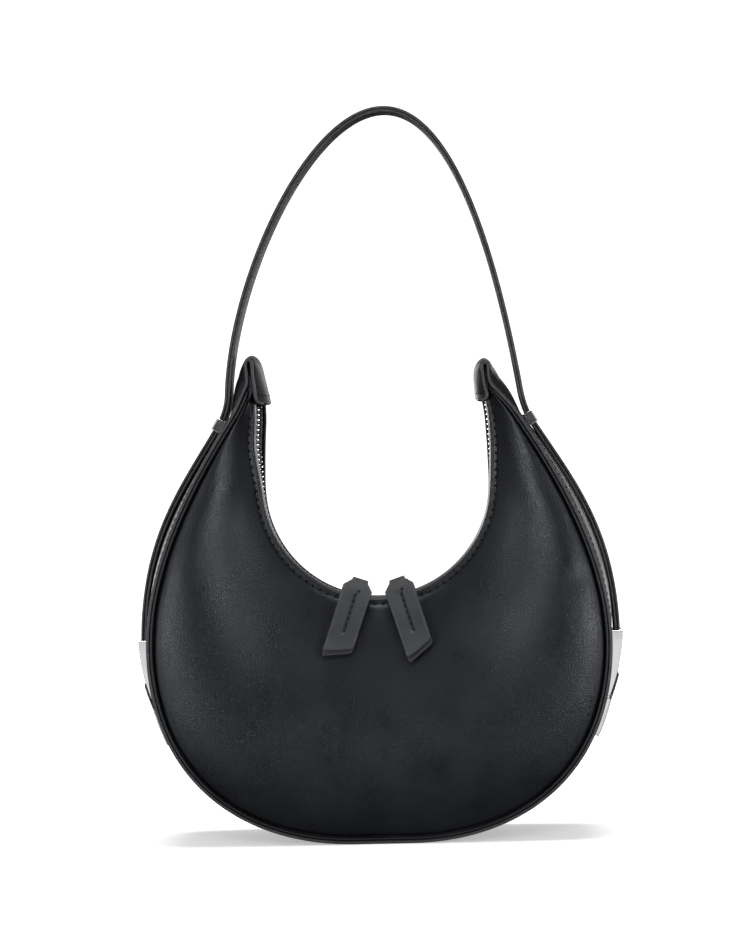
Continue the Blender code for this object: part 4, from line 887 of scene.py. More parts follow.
def finish_of(slot):
    """The material of one slot of the bag, made once from the user's colours and grain size."""
    name = "bag_" + slot
    found = bpy.data.materials.get(name)
    if found:
        return found
    scene = bpy.context.scene
    colours, sizes = scene.bag_colours, scene.bag_sizes
    if slot in LEATHERS:
        colour_name, roughness, share, depth, creased, wear = LEATHERS[slot]
        colour = getattr(colours, colour_name)
        edge_colour = tinted(colour, 1.6) if slot == "leather" else colours.edge_paint
        return leather_finish(name, colour, edge_colour, roughness, sizes.grain * share, depth, creased, wear)
    if slot == "lining":
        return cloth_finish(name, colours.lining, sizes.lining_thread, 0.00006, 0.9)
    if slot == "tape":
        return cloth_finish(name, colours.tape, sizes.tape_thread, 0.0001, 0.85)
    if slot == "polished_steel":
        return metal_finish(name, colours.steel, 0.11)
    # Painted highlight: the teeth take the fittings' steel made brighter, so that their glints stand out.
    if slot == "zip_teeth":
        return metal_finish(name, tinted(colours.steel, 1.2), 0.16)
    if slot == "thread":
        return thread_finish(name, colours.thread)
    if slot == "board":
        return plain_finish(name, BOARD_COLOUR, 0.9, 900.0, 0.00006)
    return plain_finish(name, FOAM_COLOUR, 0.95, 2600.0, 0.0002)


# What a user would change.


def length_property(label, description, value, least, most, precision=4):
    """A length that a user may change, between two limits."""
    return bpy.props.FloatProperty(name=label, description=description, default=value, min=least, max=most,
                                   unit="LENGTH", precision=precision)


def colour_property(label, description, value):
    """A colour that a user may change."""
    return bpy.props.FloatVectorProperty(name=label, description=description, subtype="COLOR", size=3,
                                         min=0.0, max=1.0, default=value)


class BagSizes(bpy.types.PropertyGroup):
    """Sizes of the fine work"""
    stitch_pitch: length_property("Stitch pitch", "Distance from one seam stitch to the next", 0.0036, 0.002, 0.008)
    mouth_stitch_pitch: length_property("Mouth stitch pitch", "Distance between the stitches beside the zip",
                                        0.0041, 0.002, 0.008)
    stitch_thickness: length_property("Thread thickness", "Thickness of the sewing thread", 0.0005, 0.0002, 0.001)
    tooth_pitch: length_property("Tooth pitch", "Distance between two teeth on one side of the zip",
                                 0.00254, 0.0015, 0.005, precision=5)
    grain: length_property("Leather grain", "Size of one pebble of the leather's grain", 0.0009, 0.0003, 0.003)
    lining_thread: length_property("Lining thread", "Width of one thread of the lining cloth", 0.0004, 0.0002, 0.002)
    tape_thread: length_property("Tape thread", "Width of one thread of the zip tape", 0.0006, 0.0002, 0.002)


class BagColours(bpy.types.PropertyGroup):
    """Colours of the materials"""
    leather: colour_property("Leather", "Panels and strap", (0.0038, 0.0041, 0.0050))
    band: colour_property("Band leather", "Band, tabs and welts", (0.0060, 0.0062, 0.0068))
    pull: colour_property("Pull leather", "Leather pulls on the sliders", (0.0200, 0.0208, 0.0220))
    edge_paint: colour_property("Edge paint", "Painted edges of strap and pulls", (0.0200, 0.0200, 0.0210))
    thread: colour_property("Thread", "Sewing thread", (0.0040, 0.0040, 0.0045))
    lining: colour_property("Lining", "Lining cloth", (0.0300, 0.0300, 0.0340))
    tape: colour_property("Zip tape", "Woven tape of the zip", (0.0110, 0.0110, 0.0120))
    steel: colour_property("Fittings", "Polished fittings and zip teeth", (0.8000, 0.8000, 0.7900))


# Pieces. Each maker returns nothing; all but the strap's maker leave their objects tied to the frame.


def band_grid():
    """Outer face of the band: each row crosses it, bulging by one minus a power of the share of its half width,
    then runs on as a flat flange with a sewn channel along it. The tabs' corners are drawn in by a quarter circle."""
    edge, crown, depth = band_lines()
    edge, crown = mirrored(edge), mirrored(crown)
    crown = crown + normals(edge) * flank_swell(crown)[:, None]
    depth = np.concatenate([depth[:0:-1], depth])
    reach = np.array([*FLANGE_COLUMNS, SEAM_RIDGE - BAND_THICK / 2])
    ends = np.ones(len(reach))
    share = np.concatenate([-ends, np.sin(np.linspace(-1.0, 1.0, BAND_COLUMNS) * pi / 2), ends])
    run = np.concatenate([-reach[::-1], np.zeros(BAND_COLUMNS), reach])
    bulge = 1.0 - np.abs(share) ** CROWN_POWER
    channel = BAND_CHANNEL_DEPTH * bell(np.abs(run) - BAND_CHANNEL_IN, BAND_CHANNEL_WIDTH)
    dip = BAND_CREASE_DEPTH * bell(1.0 - np.abs(share), BAND_CREASE_SHARE) * (run == 0.0)
    distance = along(edge)
    away = np.clip(1.0 - np.minimum(distance, distance[-1] - distance) / TAB_CORNER, 0.0, 1.0)
    drawn_in = TAB_CORNER * (1.0 - np.sqrt(1.0 - away**2)) / np.linalg.norm(crown - edge, axis=1).clip(TAB_CORNER)
    bulge = bulge[None] + (1.0 - bulge[None]) * drawn_in[:, None]
    place = edge[:, None] + (crown - edge)[:, None] * bulge[..., None]
    place = place - normals(edge)[:, None] * (channel + dip)[None, :, None]
    return settled(in_space(place, share[None] * depth[:, None] + run[None]))


def make_band(sizes):
    """The band, a row of stitches along each edge, and one across each tab."""
    grid = band_grid()
    body = sheet_body(grid, BAND_THICK, (0.0, 0.0, -1.0), 4, round_ends=True)
    make_piece("bag_gusset_band", body, finish_of("band_leather"), "bag", ["gusset_band"])
    pitch, length, thread = sizes.stitch_pitch, sizes.stitch_pitch * SEAM_STITCH_SHARE, sizes.stitch_thickness
    normal = grid_normals(grid)
    rows = []
    for column in SEWN_COLUMNS:
        face = normal[:, column] * np.sign(normal[len(grid) // 2, column, 2]) * -1.0
        rows.append(stitch_row(grid[:, column], face, pitch, length, thread, 0.45))
    for end in SEWN_ROWS:
        line, face = grid[end, TAB_SEAM], normal[end, TAB_SEAM]
        face = face * np.sign((face @ (-np.sign(line[0, 0]), 0.0, 0.0)).mean())
        rows.append(stitch_row(line, face, pitch, length, thread * TAB_THREAD, 0.5))
    make_piece("bag_band_stitches", joined(rows), finish_of("thread"), "bag")


def make_welts(sizes):
    """A rounded bar along the inside of the band's flange, up under each horn's tip."""
    flank = flank_path(60, 60)
    path = mirrored(flank[flank[:, 1] < WELT_TOP])
    out = normals(path)
    line = path - out * (BAND_THICK + GAP + WELT_THICK / 2)
    middle = half_depth(path[:, 1]) + (GAP + SEAM_RIDGE) / 2
    taper = np.clip((WELT_TOP - path[:, 1]) / SEAM_RIDGE, 0.35, 1.0)
    section = rounded_loop(SEAM_RIDGE - GAP, WELT_THICK, 0.0006, 5)
    section = section[None] * np.stack([np.ones(len(path)), taper], axis=1)[:, None]
    for word, side in FACES:
        body = carried(settled(in_space(line, side * middle)), (0.0, side, 0.0), in_space(out), section)
        make_piece("bag_%s_edge_welt" % word, body, finish_of("edge_leather"), "bag",
                   [word + "_edge_welt"])


def panel_lines(tongue_top):
    """Mouth and seam points of a panel's right half: rays from the mouth's centre, then equal shares up to its tip."""
    arc_steps, wall_steps, tip_steps = 9, 5, 2
    mouth = mouth_path(ZIP_RADIUS - PANEL_EDGE_RAISE, TAB_BOTTOM - GAP, arc_steps, wall_steps)
    dense = flank_path()
    seam = dense - normals(dense) * (BAND_THICK + WELT_THICK + 2 * GAP)
    run = along(seam)
    ray = np.arctan2(seam[:, 0], MOUTH_CENTRE_Z - seam[:, 1])
    lower = np.interp(np.linspace(0.0, pi / 2, arc_steps + 1), ray, run)
    part = run > lower[-1]
    end = np.interp(PANEL_TIP_HEIGHT, seam[part][:, 1], run[part])
    upper = lower[-1] + (end - lower[-1]) * np.linspace(0.0, 1.0, wall_steps + tip_steps + 1)[1:]
    tongue = [(TIP_X - x, z) for x, z in zip(PANEL_TONGUE_IN, (TAB_BOTTOM + GAP, PANEL_TIP_HEIGHT, tongue_top))]
    mouth = np.concatenate([mouth, tongue])
    seam = at_distances(seam, np.concatenate([lower, upper]))
    return mouth, np.concatenate([seam, [(TIP_X + PANEL_TONGUE_OUT, tongue_top)]])


def turned_wall(points):
    """Points near the mouth, moved sideways out of it: nothing at the back panel's edge, most at the front one's."""
    moved = np.array(points, float)
    share = smooth_step((moved[..., 2] - WALL_TURN_HEIGHTS[0]) / (WALL_TURN_HEIGHTS[1] - WALL_TURN_HEIGHTS[0]))
    forward = np.clip(0.5 - moved[..., 1] / (2 * PANEL_EDGE_Y), 0.0, 1.2)
    right = moved[..., 0] > 0.0
    moved[..., 0] += share * forward * np.where(right, WALL_TURN[1], -WALL_TURN[0])
    return moved


def panel_keys(side, shares):
    """Outer face of a panel: from the mouth over a rolled fold, then a quarter sine to the seam's depth plus a puff
    that is a power of 4t(1 - t)."""
    halves = []
    for sign, tongue_top in zip((-1.0, 1.0), PANEL_TONGUE_TOPS):
        mouth, seam = panel_lines(tongue_top)
        edge = turned_wall(in_space(mouth * (sign, 1.0), side * PANEL_EDGE_Y))[:, ::2] * (sign, 1.0)
        halves.append(panel_half(side, shares, edge, seam))
    left, right = halves
    return settled(np.concatenate([left[:0:-1] * (-1.0, 1.0, 1.0), right]))


def panel_half(side, shares, mouth, seam):
    """Half of a panel, drawn on the right."""
    depth = half_depth(seam[:, 1])
    span = np.linalg.norm(seam - mouth, axis=1)
    way = (seam - mouth) / span[:, None]
    fold = np.minimum(FOLD_DROP, span / 4)
    fold_y = np.minimum(PANEL_EDGE_Y + FOLD_WIDTH, depth)
    t = np.asarray(shares)[None]
    scale = np.minimum(span / SEAM_ROLL_SPAN, 1.0)[:, None]
    if t[0, -1] == 1.0:
        near = scale * SEAM_ROLL_KEYS[None] / span[:, None]
        t = np.concatenate([t[:, :-1] * (1.0 - near[:, :1] * 1.4), 1.0 - near], axis=1)
    start = mouth + way * fold[:, None]
    place = start[:, None] + (seam - start)[:, None] * t[..., None]
    puff = BELLY_PUFF * (span / FULL_SPAN)[:, None]
    y = fold_y[:, None] + (depth - fold_y)[:, None] * np.sin(t * pi / 2) + puff * (4.0 * t * (1.0 - t)) ** PUFF_POWER
    from_seam = np.clip(1.0 - (1.0 - t) * span[:, None] / (SEAM_ROLL_RUN * scale), 0.0, 1.0)
    y = y + scale * (SEAM_LIFT * smooth_step(2.0 * t - 1.0) - SEAM_ROLL_DROP * (1.0 - np.sqrt(1.0 - from_seam**2)))
    if t[0, -1] == 1.0:
        tuck = SEAM_TUCK * np.minimum(span / SEAM_TUCK_SPAN, 1.0)[:, None]
        place = np.concatenate([place, (seam + way * tuck)[:, None]], axis=1)
        y = np.concatenate([y, y[:, -1:]], axis=1)
    turn = np.array([0.0, 0.3, 0.6])[None] * pi / 2
    roll = mouth[:, None] + (way * fold[:, None])[:, None] * (1.0 - np.cos(turn))[..., None]
    roll_y = PANEL_EDGE_Y + (fold_y - PANEL_EDGE_Y)[:, None] * np.sin(turn)
    place = np.concatenate([roll, place], axis=1)
    return in_space(place, side * np.concatenate([roll_y, y], axis=1))


# Soft dents and swells of the stuffed leather: x, z, half sizes along and across, lean, and height.
FRONT_SWELLS = [
    (-0.088, 0.128, 0.016, 0.034, 25.0, 0.0012), (-0.066, 0.148, 0.010, 0.022, 12.0, -0.0009),
    (0.090, 0.126, 0.016, 0.032, -25.0, 0.0012), (0.068, 0.150, 0.010, 0.022, -14.0, -0.0009),
    (0.101, 0.131, 0.004, 0.010, -60.0, -0.0008), (-0.030, 0.060, 0.030, 0.024, 20.0, 0.0009),
    (0.036, 0.056, 0.028, 0.022, -24.0, 0.0010), (0.000, 0.088, 0.012, 0.030, 4.0, -0.0008),
    (-0.078, 0.180, 0.006, 0.022, -22.0, 0.0006), (0.078, 0.180, 0.006, 0.022, 22.0, 0.0006),
    (-0.052, 0.094, 0.014, 0.022, 35.0, -0.0006), (0.054, 0.092, 0.014, 0.022, -35.0, -0.0006),
]


def swell(grid, side, swells):
    """Raise a panel by bell curves in its own plane, fading to nothing at its four edges."""
    x, z = grid[..., 0], grid[..., 2]
    lift = np.zeros_like(x)
    for cx, cz, along_size, across_size, lean, height in swells:
        c, s = cos(radians(lean)), sin(radians(lean))
        a = (x - cx) * c + (z - cz) * s
        b = (z - cz) * c - (x - cx) * s
        lift = lift + height * np.exp(-(a / along_size) ** 2 - (b / across_size) ** 2)
    rows = np.linspace(0.0, 1.0, grid.shape[0])[:, None]
    cols = np.linspace(0.0, 1.0, grid.shape[1])[None]
    fade = smooth_step(rows * (1 - rows) * 20) * smooth_step((cols - 0.18) * 5) * smooth_step((1 - cols) * 3)
    moved = grid.copy()
    moved[..., 1] += side * lift * fade
    return moved


def panel_grid(side):
    """The panel's keys made a smooth surface, with swells and a sewn channel beside the mouth."""
    keys = panel_keys(side, PANEL_SHARES)
    body = smooth(keys[2:-2], 8, 0)
    grid = smooth(np.concatenate([keys[:2], body, keys[-2:]]), 4, 1)
    swells = FRONT_SWELLS if side < 0 else [(-x, z - 0.006, a, b, -lean, h) for x, z, a, b, lean, h in FRONT_SWELLS]
    grid = swell(grid, side, swells)
    run = np.cumsum(np.linalg.norm(np.diff(grid, axis=1), axis=2), axis=1)
    run = np.concatenate([np.zeros((len(grid), 1)), run], axis=1)
    normal = grid_normals(grid)
    normal = normal * np.sign(normal[len(grid) // 2, grid.shape[1] // 2, 1] * side)
    depth = (MOUTH_CHANNEL_DEPTH * bell(run - MOUTH_STITCH_IN, MOUTH_CHANNEL_WIDTH)
             - MOUTH_RIB_HEIGHT * bell(run - MOUTH_RIB_SHARE * MOUTH_STITCH_IN, MOUTH_RIB_WIDTH))
    return grid - normal * depth[..., None], normal, run


def make_panels(sizes):
    """The two crescents, and the stitches beside the mouth."""
    pitch, thread = sizes.mouth_stitch_pitch, sizes.stitch_thickness * HEAVY_THREAD
    for word, side in FACES:
        grid, normal, run = panel_grid(side)
        body = sheet_body(grid, PANEL_THICK, (0.0, side, 0.0), 4, rim_reach=0.0012)
        make_piece("bag_%s_panel" % word, body, finish_of("leather"), "bag", [word + "_panel"])
        keep = slice(14, -14)
        line, face = (np.stack([[np.interp(MOUTH_STITCH_IN, r, row[:, k]) for k in range(3)]
                                for r, row in zip(run[keep], rows[keep])]) for rows in (grid, normal))
        make_piece("bag_%s_mouth_stitches" % word,
                   stitch_row(line, face, pitch, pitch * MOUTH_STITCH_SHARE, thread, 0.30),
                   finish_of("thread"), "bag")


def lining_piece(name, node, grid, look, start):
    """A cut sheet of lining cloth."""
    body = sheet_body(grid, LINING_THICK, look, 2, start)
    obj = make_piece(name, body, finish_of("lining"), "bag", [node])


def make_linings(sizes):
    """The lining's three parts and its pocket, the base board and the foam that fills the horns' tips."""
    keys = {side: panel_keys(side, LINING_SHARES)[4:-4] for side in (-1.0, 1.0)}
    for word, side in FACES:
        rows = smooth(smooth(keys[side][:, 4:], 4, 0), 3, 1)
        lining_piece("bag_lining_" + word, "lining_" + word, rows, (0.0, side, 0.0), PANEL_THICK + GAP)
    middle = len(keys[1.0]) // 2
    patch = smooth(smooth(keys[1.0][middle - 4:middle + 5, 6:10], 6, 0), 6, 1)
    lining_piece("bag_inner_pocket", "inner_pocket", patch, (0.0, 1.0, 0.0), PANEL_THICK + LINING_THICK + 2 * GAP)
    flank = flank_path(8, 9)[:-3]
    path = mirrored(evenly(flank, 60))
    share = np.linspace(-0.85, 0.85, 21)
    grid = in_space(np.repeat(path[:, None], len(share), 1), share[None] * half_depth(path[:, 1])[:, None])
    lining_piece("bag_lining_gusset", "lining_gusset", grid, (0.0, 0.0, -1.0), BAND_THICK + 0.0020)
    half = flank_path(60, 10)
    half = half[(half[:, 0] < BOARD_HALF_LENGTH - 0.006) & (half[:, 1] < WIDEST_HEIGHT / 2)]
    board = mirrored(half)
    across = np.linspace(-1.0, 1.0, 9)[None] * (BOARD_HALF_WIDTH - BOARD_THICK / 2)
    grid = in_space(np.repeat(board[:, None], 9, 1), across)
    make_piece("bag_base_board", sheet_body(grid, BOARD_THICK, (0.0, 0.0, -1.0), 2, BAND_THICK + GAP, round_ends=True),
               finish_of("board"), "bag", ["base_board"])
    turn = np.linspace(0.06, pi - 0.06, 14)
    section = circle_loop(1.0, 20)[None] * np.sin(turn)[:, None, None]
    for word, side in SIDES:
        middle = settled((side * TIP_X, 0.0, TIP_TOP - FILLER_BELOW_TOP))
        path = middle - np.cos(turn)[:, None] * (0.0, FILLER_SIZE[1] / 2, 0.0)
        body = carried(path, (FILLER_SIZE[0] / 2, 0.0, 0.0), (0.0, 0.0, FILLER_SIZE[2] / 2), section)
        obj = make_piece("bag_horn_filler_" + word, body, finish_of("foam"), "bag", ["horn_filler_" + word])


def tooth_body():
    """One tooth: eight-sided sections along y, wide where it grips the tape and narrow at its head."""
    section = rounded_loop(2.0, 2.0, 0.7, 1)[None] * (TOOTH_SECTIONS[:, None, 1:] * 0.001)
    path = TOOTH_SECTIONS[:, :1] * (0.0, 1.0, 0.0)
    return carried(path, (1.0, 0.0, 0.0), (0.0, 0.0, 1.0), section)


def make_zip(sizes):
    """The two tapes, a row of single teeth on each, and the end stops."""
    path = mirrored(mouth_path(ZIP_RADIUS, TAB_BOTTOM - GAP, DENSE, DENSE))
    run = along(path)[-1]
    count = int(run / sizes.tooth_pitch) - 1
    line = mirrored(mouth_path(ZIP_RADIUS, TAB_BOTTOM - TAPE_END_DROP, 60, 30))
    out = normals(line)
    y = np.array([CHAIN_HALF_WIDTH + GAP + 0.0003, 0.0040, TAPE_FLAT_HALF - 0.0004, 0.0056, 0.0067,
                  TAPE_HALF_WIDTH - 0.0003])
    drop = np.array([0.0, 0.0, 0.00004, 0.0005, 0.00125, TAPE_SLOPE_DROP - 0.0002]) - TAPE_THICK / 2
    for word, side in FACES:
        grid = in_space(line[:, None] + out[:, None] * drop[None, :, None], side * y[None] * np.ones((len(line), 1)))
        grid = settled(turned_wall(smooth(grid, 3, 1)))
        make_piece("bag_zip_tape_" + word, sheet_body(grid, TAPE_THICK, (0.0, 0.0, 1.0), 2), finish_of("tape"), "bag",
                   ["zip_tape_" + word])
        marks = (np.arange(count) + (0.75 if side > 0 else 1.25)) * run / (count + 1)
        place = at_distances(path, marks)
        way = unit(at_distances(path, marks + 0.0004) - at_distances(path, marks - 0.0004))
        face = in_space(np.stack([-way[:, 1], way[:, 0]], axis=1))
        place = in_space(place)
        aside = unit((turned_wall(place + (0.0, TAPE_THICK, 0.0)) - turned_wall(place - (0.0, TAPE_THICK, 0.0))) * side)
        face -= aside * np.einsum("ij,ij->i", face, aside)[:, None]
        body = copies(tooth_body(), settled(turned_wall(place)), in_space(way), aside, face)
        make_piece("bag_zip_teeth_" + word, body, finish_of("zip_teeth"), "bag", ["zip_chain_" + word])
    end = mouth_path(ZIP_RADIUS, TAB_BOTTOM - GAP, 9, 5)[-1]
    rise = np.array([0.0, 0.0003, 0.0009, 0.0021, 0.0027, 0.0030])
    scale = np.array([0.72, 0.93, 1.0, 1.0, 0.93, 0.72])
    section = rounded_loop(2 * CHAIN_HALF_HEIGHT, 2 * CHAIN_HALF_WIDTH, 0.0008)[None] * scale[:, None, None]
    for word, side in SIDES:
        foot = settled(turned_wall((side * end[0], 0.0, end[1])))
        stop = foot + (GAP + rise)[:, None] * (0.0, 0.0, 1.0)
        make_piece("bag_zip_stop_" + word, carried(stop, (1.0, 0.0, 0.0), (0.0, 1.0, 0.0), section),
                   finish_of("polished_steel"), "bag", ["zip_stop_" + word])


def turned(points, angle, place):
    """Points drawn about an origin, turned about Y and moved to a place."""
    turn = np.array(Matrix.Rotation(angle, 3, "Y"))
    return points @ turn.T + np.asarray(place, float)


def moved_body(body, angle, place):
    """A body turned about Y and moved to a place."""
    return (turned(body[0], angle, place),) + body[1:]


def in_turn(pairs):
    """Pairs as points of the YZ plane in space."""
    return np.stack([0 * pairs[:, 0], pairs[:, 0], pairs[:, 1]], axis=1)


def make_sliders(sizes):
    """A slider is its section carried along x, narrowed at its nose and tail, with a throat cut for the chain.

    Known fault: the throat stops at the web, so there the web, the side lips and the plates stand in the teeth.
    """
    low = CHAIN_HALF_HEIGHT + SLIDER_CLEARANCE
    plate = low + SLIDER_PLATE
    lip_in, lip_low = SLIDER_HALF_WIDTH - SLIDER_LIP, low - SLIDER_LIP_DROP
    quarter = np.array([(WEB_HALF_WIDTH, low), (lip_in, low), (lip_in, lip_low), (SLIDER_HALF_WIDTH, lip_low),
                        (SLIDER_HALF_WIDTH, plate)])
    outline = np.concatenate([quarter[::-1] * (-1, 1), quarter * (-1, -1), quarter[::-1] * (1, -1), quarter])
    x = np.linspace(-1.0, 1.0, 15)
    inner, top = CROWN_HALF_WIDTH - CROWN_WIRE / 2, plate + CROWN_OPENING + CROWN_WIRE / 2
    keys = np.array([(-inner, plate + GAP), (-inner, plate + 0.0012), (-inner, top - 0.0012),
                     (-inner + 0.0004, top - 0.0003), (-inner + 0.0011, top)])
    line = smooth(np.concatenate([keys, keys[::-1] * (-1.0, 1.0)]), 4)
    crown = carried(in_turn(line) - (0.0, 0.0, ZIP_RADIUS), (1.0, 0.0, 0.0), in_turn(normals(line)),
                    rounded_loop(CROWN_LENGTH, CROWN_WIRE, 0.0003, 3))
    for word, side in SIDES:
        shape = (1.0 - SLIDER_END_TAPER * np.abs(x) ** 5) * (1.0 - SLIDER_NOSE_TAPER * (1.0 - side * x))
        section = outline[None] * np.stack([shape, np.ones_like(x)], axis=1)[:, None]
        path = np.stack([x * SLIDER_LENGTH / 2, 0 * x, 0 * x - ZIP_RADIUS], axis=1)
        loops = path[:, None] + (0.0, 1.0, 0.0) * section[..., :1] + (0.0, 0.0, 1.0) * section[..., 1:]
        slider = ngon_tube("bag_zip_slider_" + word, loops)
        half = np.array([2 * SLIDER_LENGTH - WEB_LENGTH, 2 * lip_in - SLIDER_LIP, 2 * low]) / 2
        corners = np.array([[(a, b, c) for b, c in ((-1, -1), (1, -1), (1, 1), (-1, 1))] for a in (-1, 1)])
        middle = (side * (SLIDER_LENGTH + WEB_LENGTH) / 2, 0.0, -ZIP_RADIUS)
        cut_away(slider, ngon_tube("throat", corners * half + middle))
        angle = -side * SLIDER_ANGLE
        turn = Matrix.Translation((0.0, 0.0, MOUTH_CENTRE_Z)) @ Matrix.Rotation(angle, 4, "Y")
        slider.data.transform(turn)
        dress(slider, finish_of("polished_steel"))
        soften(slider, SLIDER_EDGE, 2)
        slider.data.shade_smooth()
        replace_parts(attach(slider, "slider_" + word), "zip_slider_" + word)
        make_piece("bag_slider_crown_" + word, moved_body(crown, angle, (0.0, 0.0, MOUTH_CENTRE_Z)),
                   finish_of("polished_steel"), "slider_" + word, ["slider_crown_" + word])


def ngon_tube(name, loops):
    """A tube of loops with one flat face at each end, as an object for cutting and bevelling."""
    rows, cols = loops.shape[:2]
    quads = grid_quads(rows, cols, False, True).tolist()
    faces = quads + [list(range(cols)), list(range((rows - 1) * cols, rows * cols))[::-1]]
    mesh = bpy.data.meshes.new(name)
    points = loops.reshape(-1, 3)
    mesh.from_pydata(points.tolist(), [], faces)
    if volume_of(points - points.mean(axis=0), np.array(quads)) < 0.0:
        mesh.flip_normals()
    return new_object(name, mesh)


def pull_pivot(side):
    """Middle of a ring's lower bar in its crown."""
    rise = ZIP_RADIUS - (CHAIN_HALF_HEIGHT + SLIDER_CLEARANCE + SLIDER_PLATE + CROWN_OPENING - GAP - RING_WIRE)
    return (side * rise * sin(SLIDER_ANGLE), 0.0, MOUTH_CENTRE_Z - rise * cos(SLIDER_ANGLE))


def pull_line():
    """The line between a pull's two leaves in its own (y, z) plane: a cubic from the ring, then a straight end."""
    ring = np.array([-RING_REACH * cos(RING_RISE), RING_REACH * sin(RING_RISE)])
    end = np.array([-PULL_FORWARD, -PULL_DROP])
    fall = np.array([-PULL_END_RUN, -PULL_END_FALL])
    line = bezier(ring, ring - (PULL_TOP_RUN, 0.0), end - fall, end)
    return np.concatenate([line, [end + fall * 0.5, end + fall, end + fall * 1.5]])


def pull_leaf(line, face, run, leaf, share, back):
    """Outer side of one leaf: rows go from the ring to the slanted end, columns across.

    The width grows in a straight shoulder, the end's corners are rounded, the leaves open a little at their end,
    and the front one is pressed towards its middle seam from the left.
    """
    half_full, half_neck = (PULL_WIDTH - PULL_LEAF) / 2, (PULL_NECK_WIDTH - PULL_LEAF) / 2
    corner = np.clip((np.abs(share) * half_full - (half_full - PULL_CORNER)) / PULL_CORNER, 0.0, 1.0)
    rounded = PULL_CORNER * (1.0 - np.sqrt(1.0 - 0.96 * corner**2))
    reach = PULL_LENGTH - PULL_LEAF / 2 - PULL_SLANT * (share + 1.0) / 2 - rounded + (PULL_BACK_LONGER if back else 0.0)
    s = leaf[:, None] * reach[None]
    grown = np.clip((s - PULL_NECK_RUN) / (PULL_SHOULDER_RUN - 0.0012), 0.0, 1.0)
    x = share[None] * (half_neck + (half_full - half_neck) * grown)
    eye = np.clip(1.0 - s / PULL_EYE_RUN, 0.0, 1.0) ** 2
    opened = PULL_FLARE * np.clip((s - PULL_FLARE_START) / PULL_FLARE_RUN, 0.0, 1.0) ** 2
    lift = PULL_LEAF_GAP / 2 + PULL_LEAF + eye * (EYE_RADIUS - PULL_LEAF_GAP / 2) + opened * (0.3 if back else 1.0)
    if not back:
        window = (smooth_step((s - PULL_SEAM_RUN[0] + PULL_SEAM_MARGIN) / PULL_SEAM_FADE)
                  * smooth_step((PULL_SEAM_RUN[1] + PULL_SEAM_MARGIN - s) / PULL_SEAM_FADE))
        dent = np.where(x < 0.0, np.clip((x + PULL_PRESS_WIDTH) / PULL_PRESS_WIDTH, 0.0, 1.0) ** 1.5,
                        np.clip(1.0 - x / 0.0010, 0.0, 1.0))
        lift = lift - window * (PULL_PRESS_DEPTH * dent + PULL_GROOVE_DEPTH * bell(x, PULL_GROOVE_WIDTH))
    place = np.stack([np.interp(s, run, line[:, k]) for k in range(2)], axis=-1)
    way = np.stack([np.interp(s, run, face[:, k]) for k in range(2)], axis=-1)
    place = place + way * (lift * (-1.0 if back else 1.0))[..., None]
    return np.stack([x, place[..., 0], place[..., 1]], axis=-1), s


def pull_body():
    """A strip folded over the ring: the front leaf up, half a circle round the wire, and the back leaf down."""
    line = pull_line()
    face, run = normals(line), along(line)
    share = np.linspace(-1.0, 1.0, 61)
    leaf = np.concatenate([np.linspace(0.0, 0.22, 44)[:-1], np.linspace(0.22, 0.92, 66)[:-1],
                           np.linspace(0.92, 1.0, 12)])
    front, s = pull_leaf(line, face, run, leaf, share, False)
    back, _ = pull_leaf(line, face, run, leaf, share, True)
    turn = np.linspace(0.0, pi, 17)[1:-1]
    angle = np.arctan2(face[0, 1], face[0, 0]) - turn
    if (np.array([np.cos(angle[7]), np.sin(angle[7])]) @ (line[1] - line[0])) > 0.0:
        angle = np.arctan2(face[0, 1], face[0, 0]) + turn
    eye = line[0] + (EYE_RADIUS + PULL_LEAF) * np.stack([np.cos(angle), np.sin(angle)], axis=1)
    fold = np.stack([np.broadcast_to(front[0, :, 0], (len(turn), len(share))),
                     np.repeat(eye[:, :1], len(share), 1), np.repeat(eye[:, 1:], len(share), 1)], axis=-1)
    grid = np.concatenate([front[::-1], fold, back])
    middle = len(share) // 2
    seam = (s[:, middle] > PULL_SEAM_RUN[0]) & (s[:, middle] < PULL_SEAM_RUN[1])
    outward_way = eye[len(eye) // 2] - line[0]
    body = sheet_body(grid, PULL_LEAF, (0.0, *outward_way), 3, rim_reach=0.0006, round_ends=True)
    normal = grid_normals(front)
    normal = normal * np.sign(-normal[len(normal) // 2, middle, 1])
    return body, front[seam, middle], normal[seam, middle]


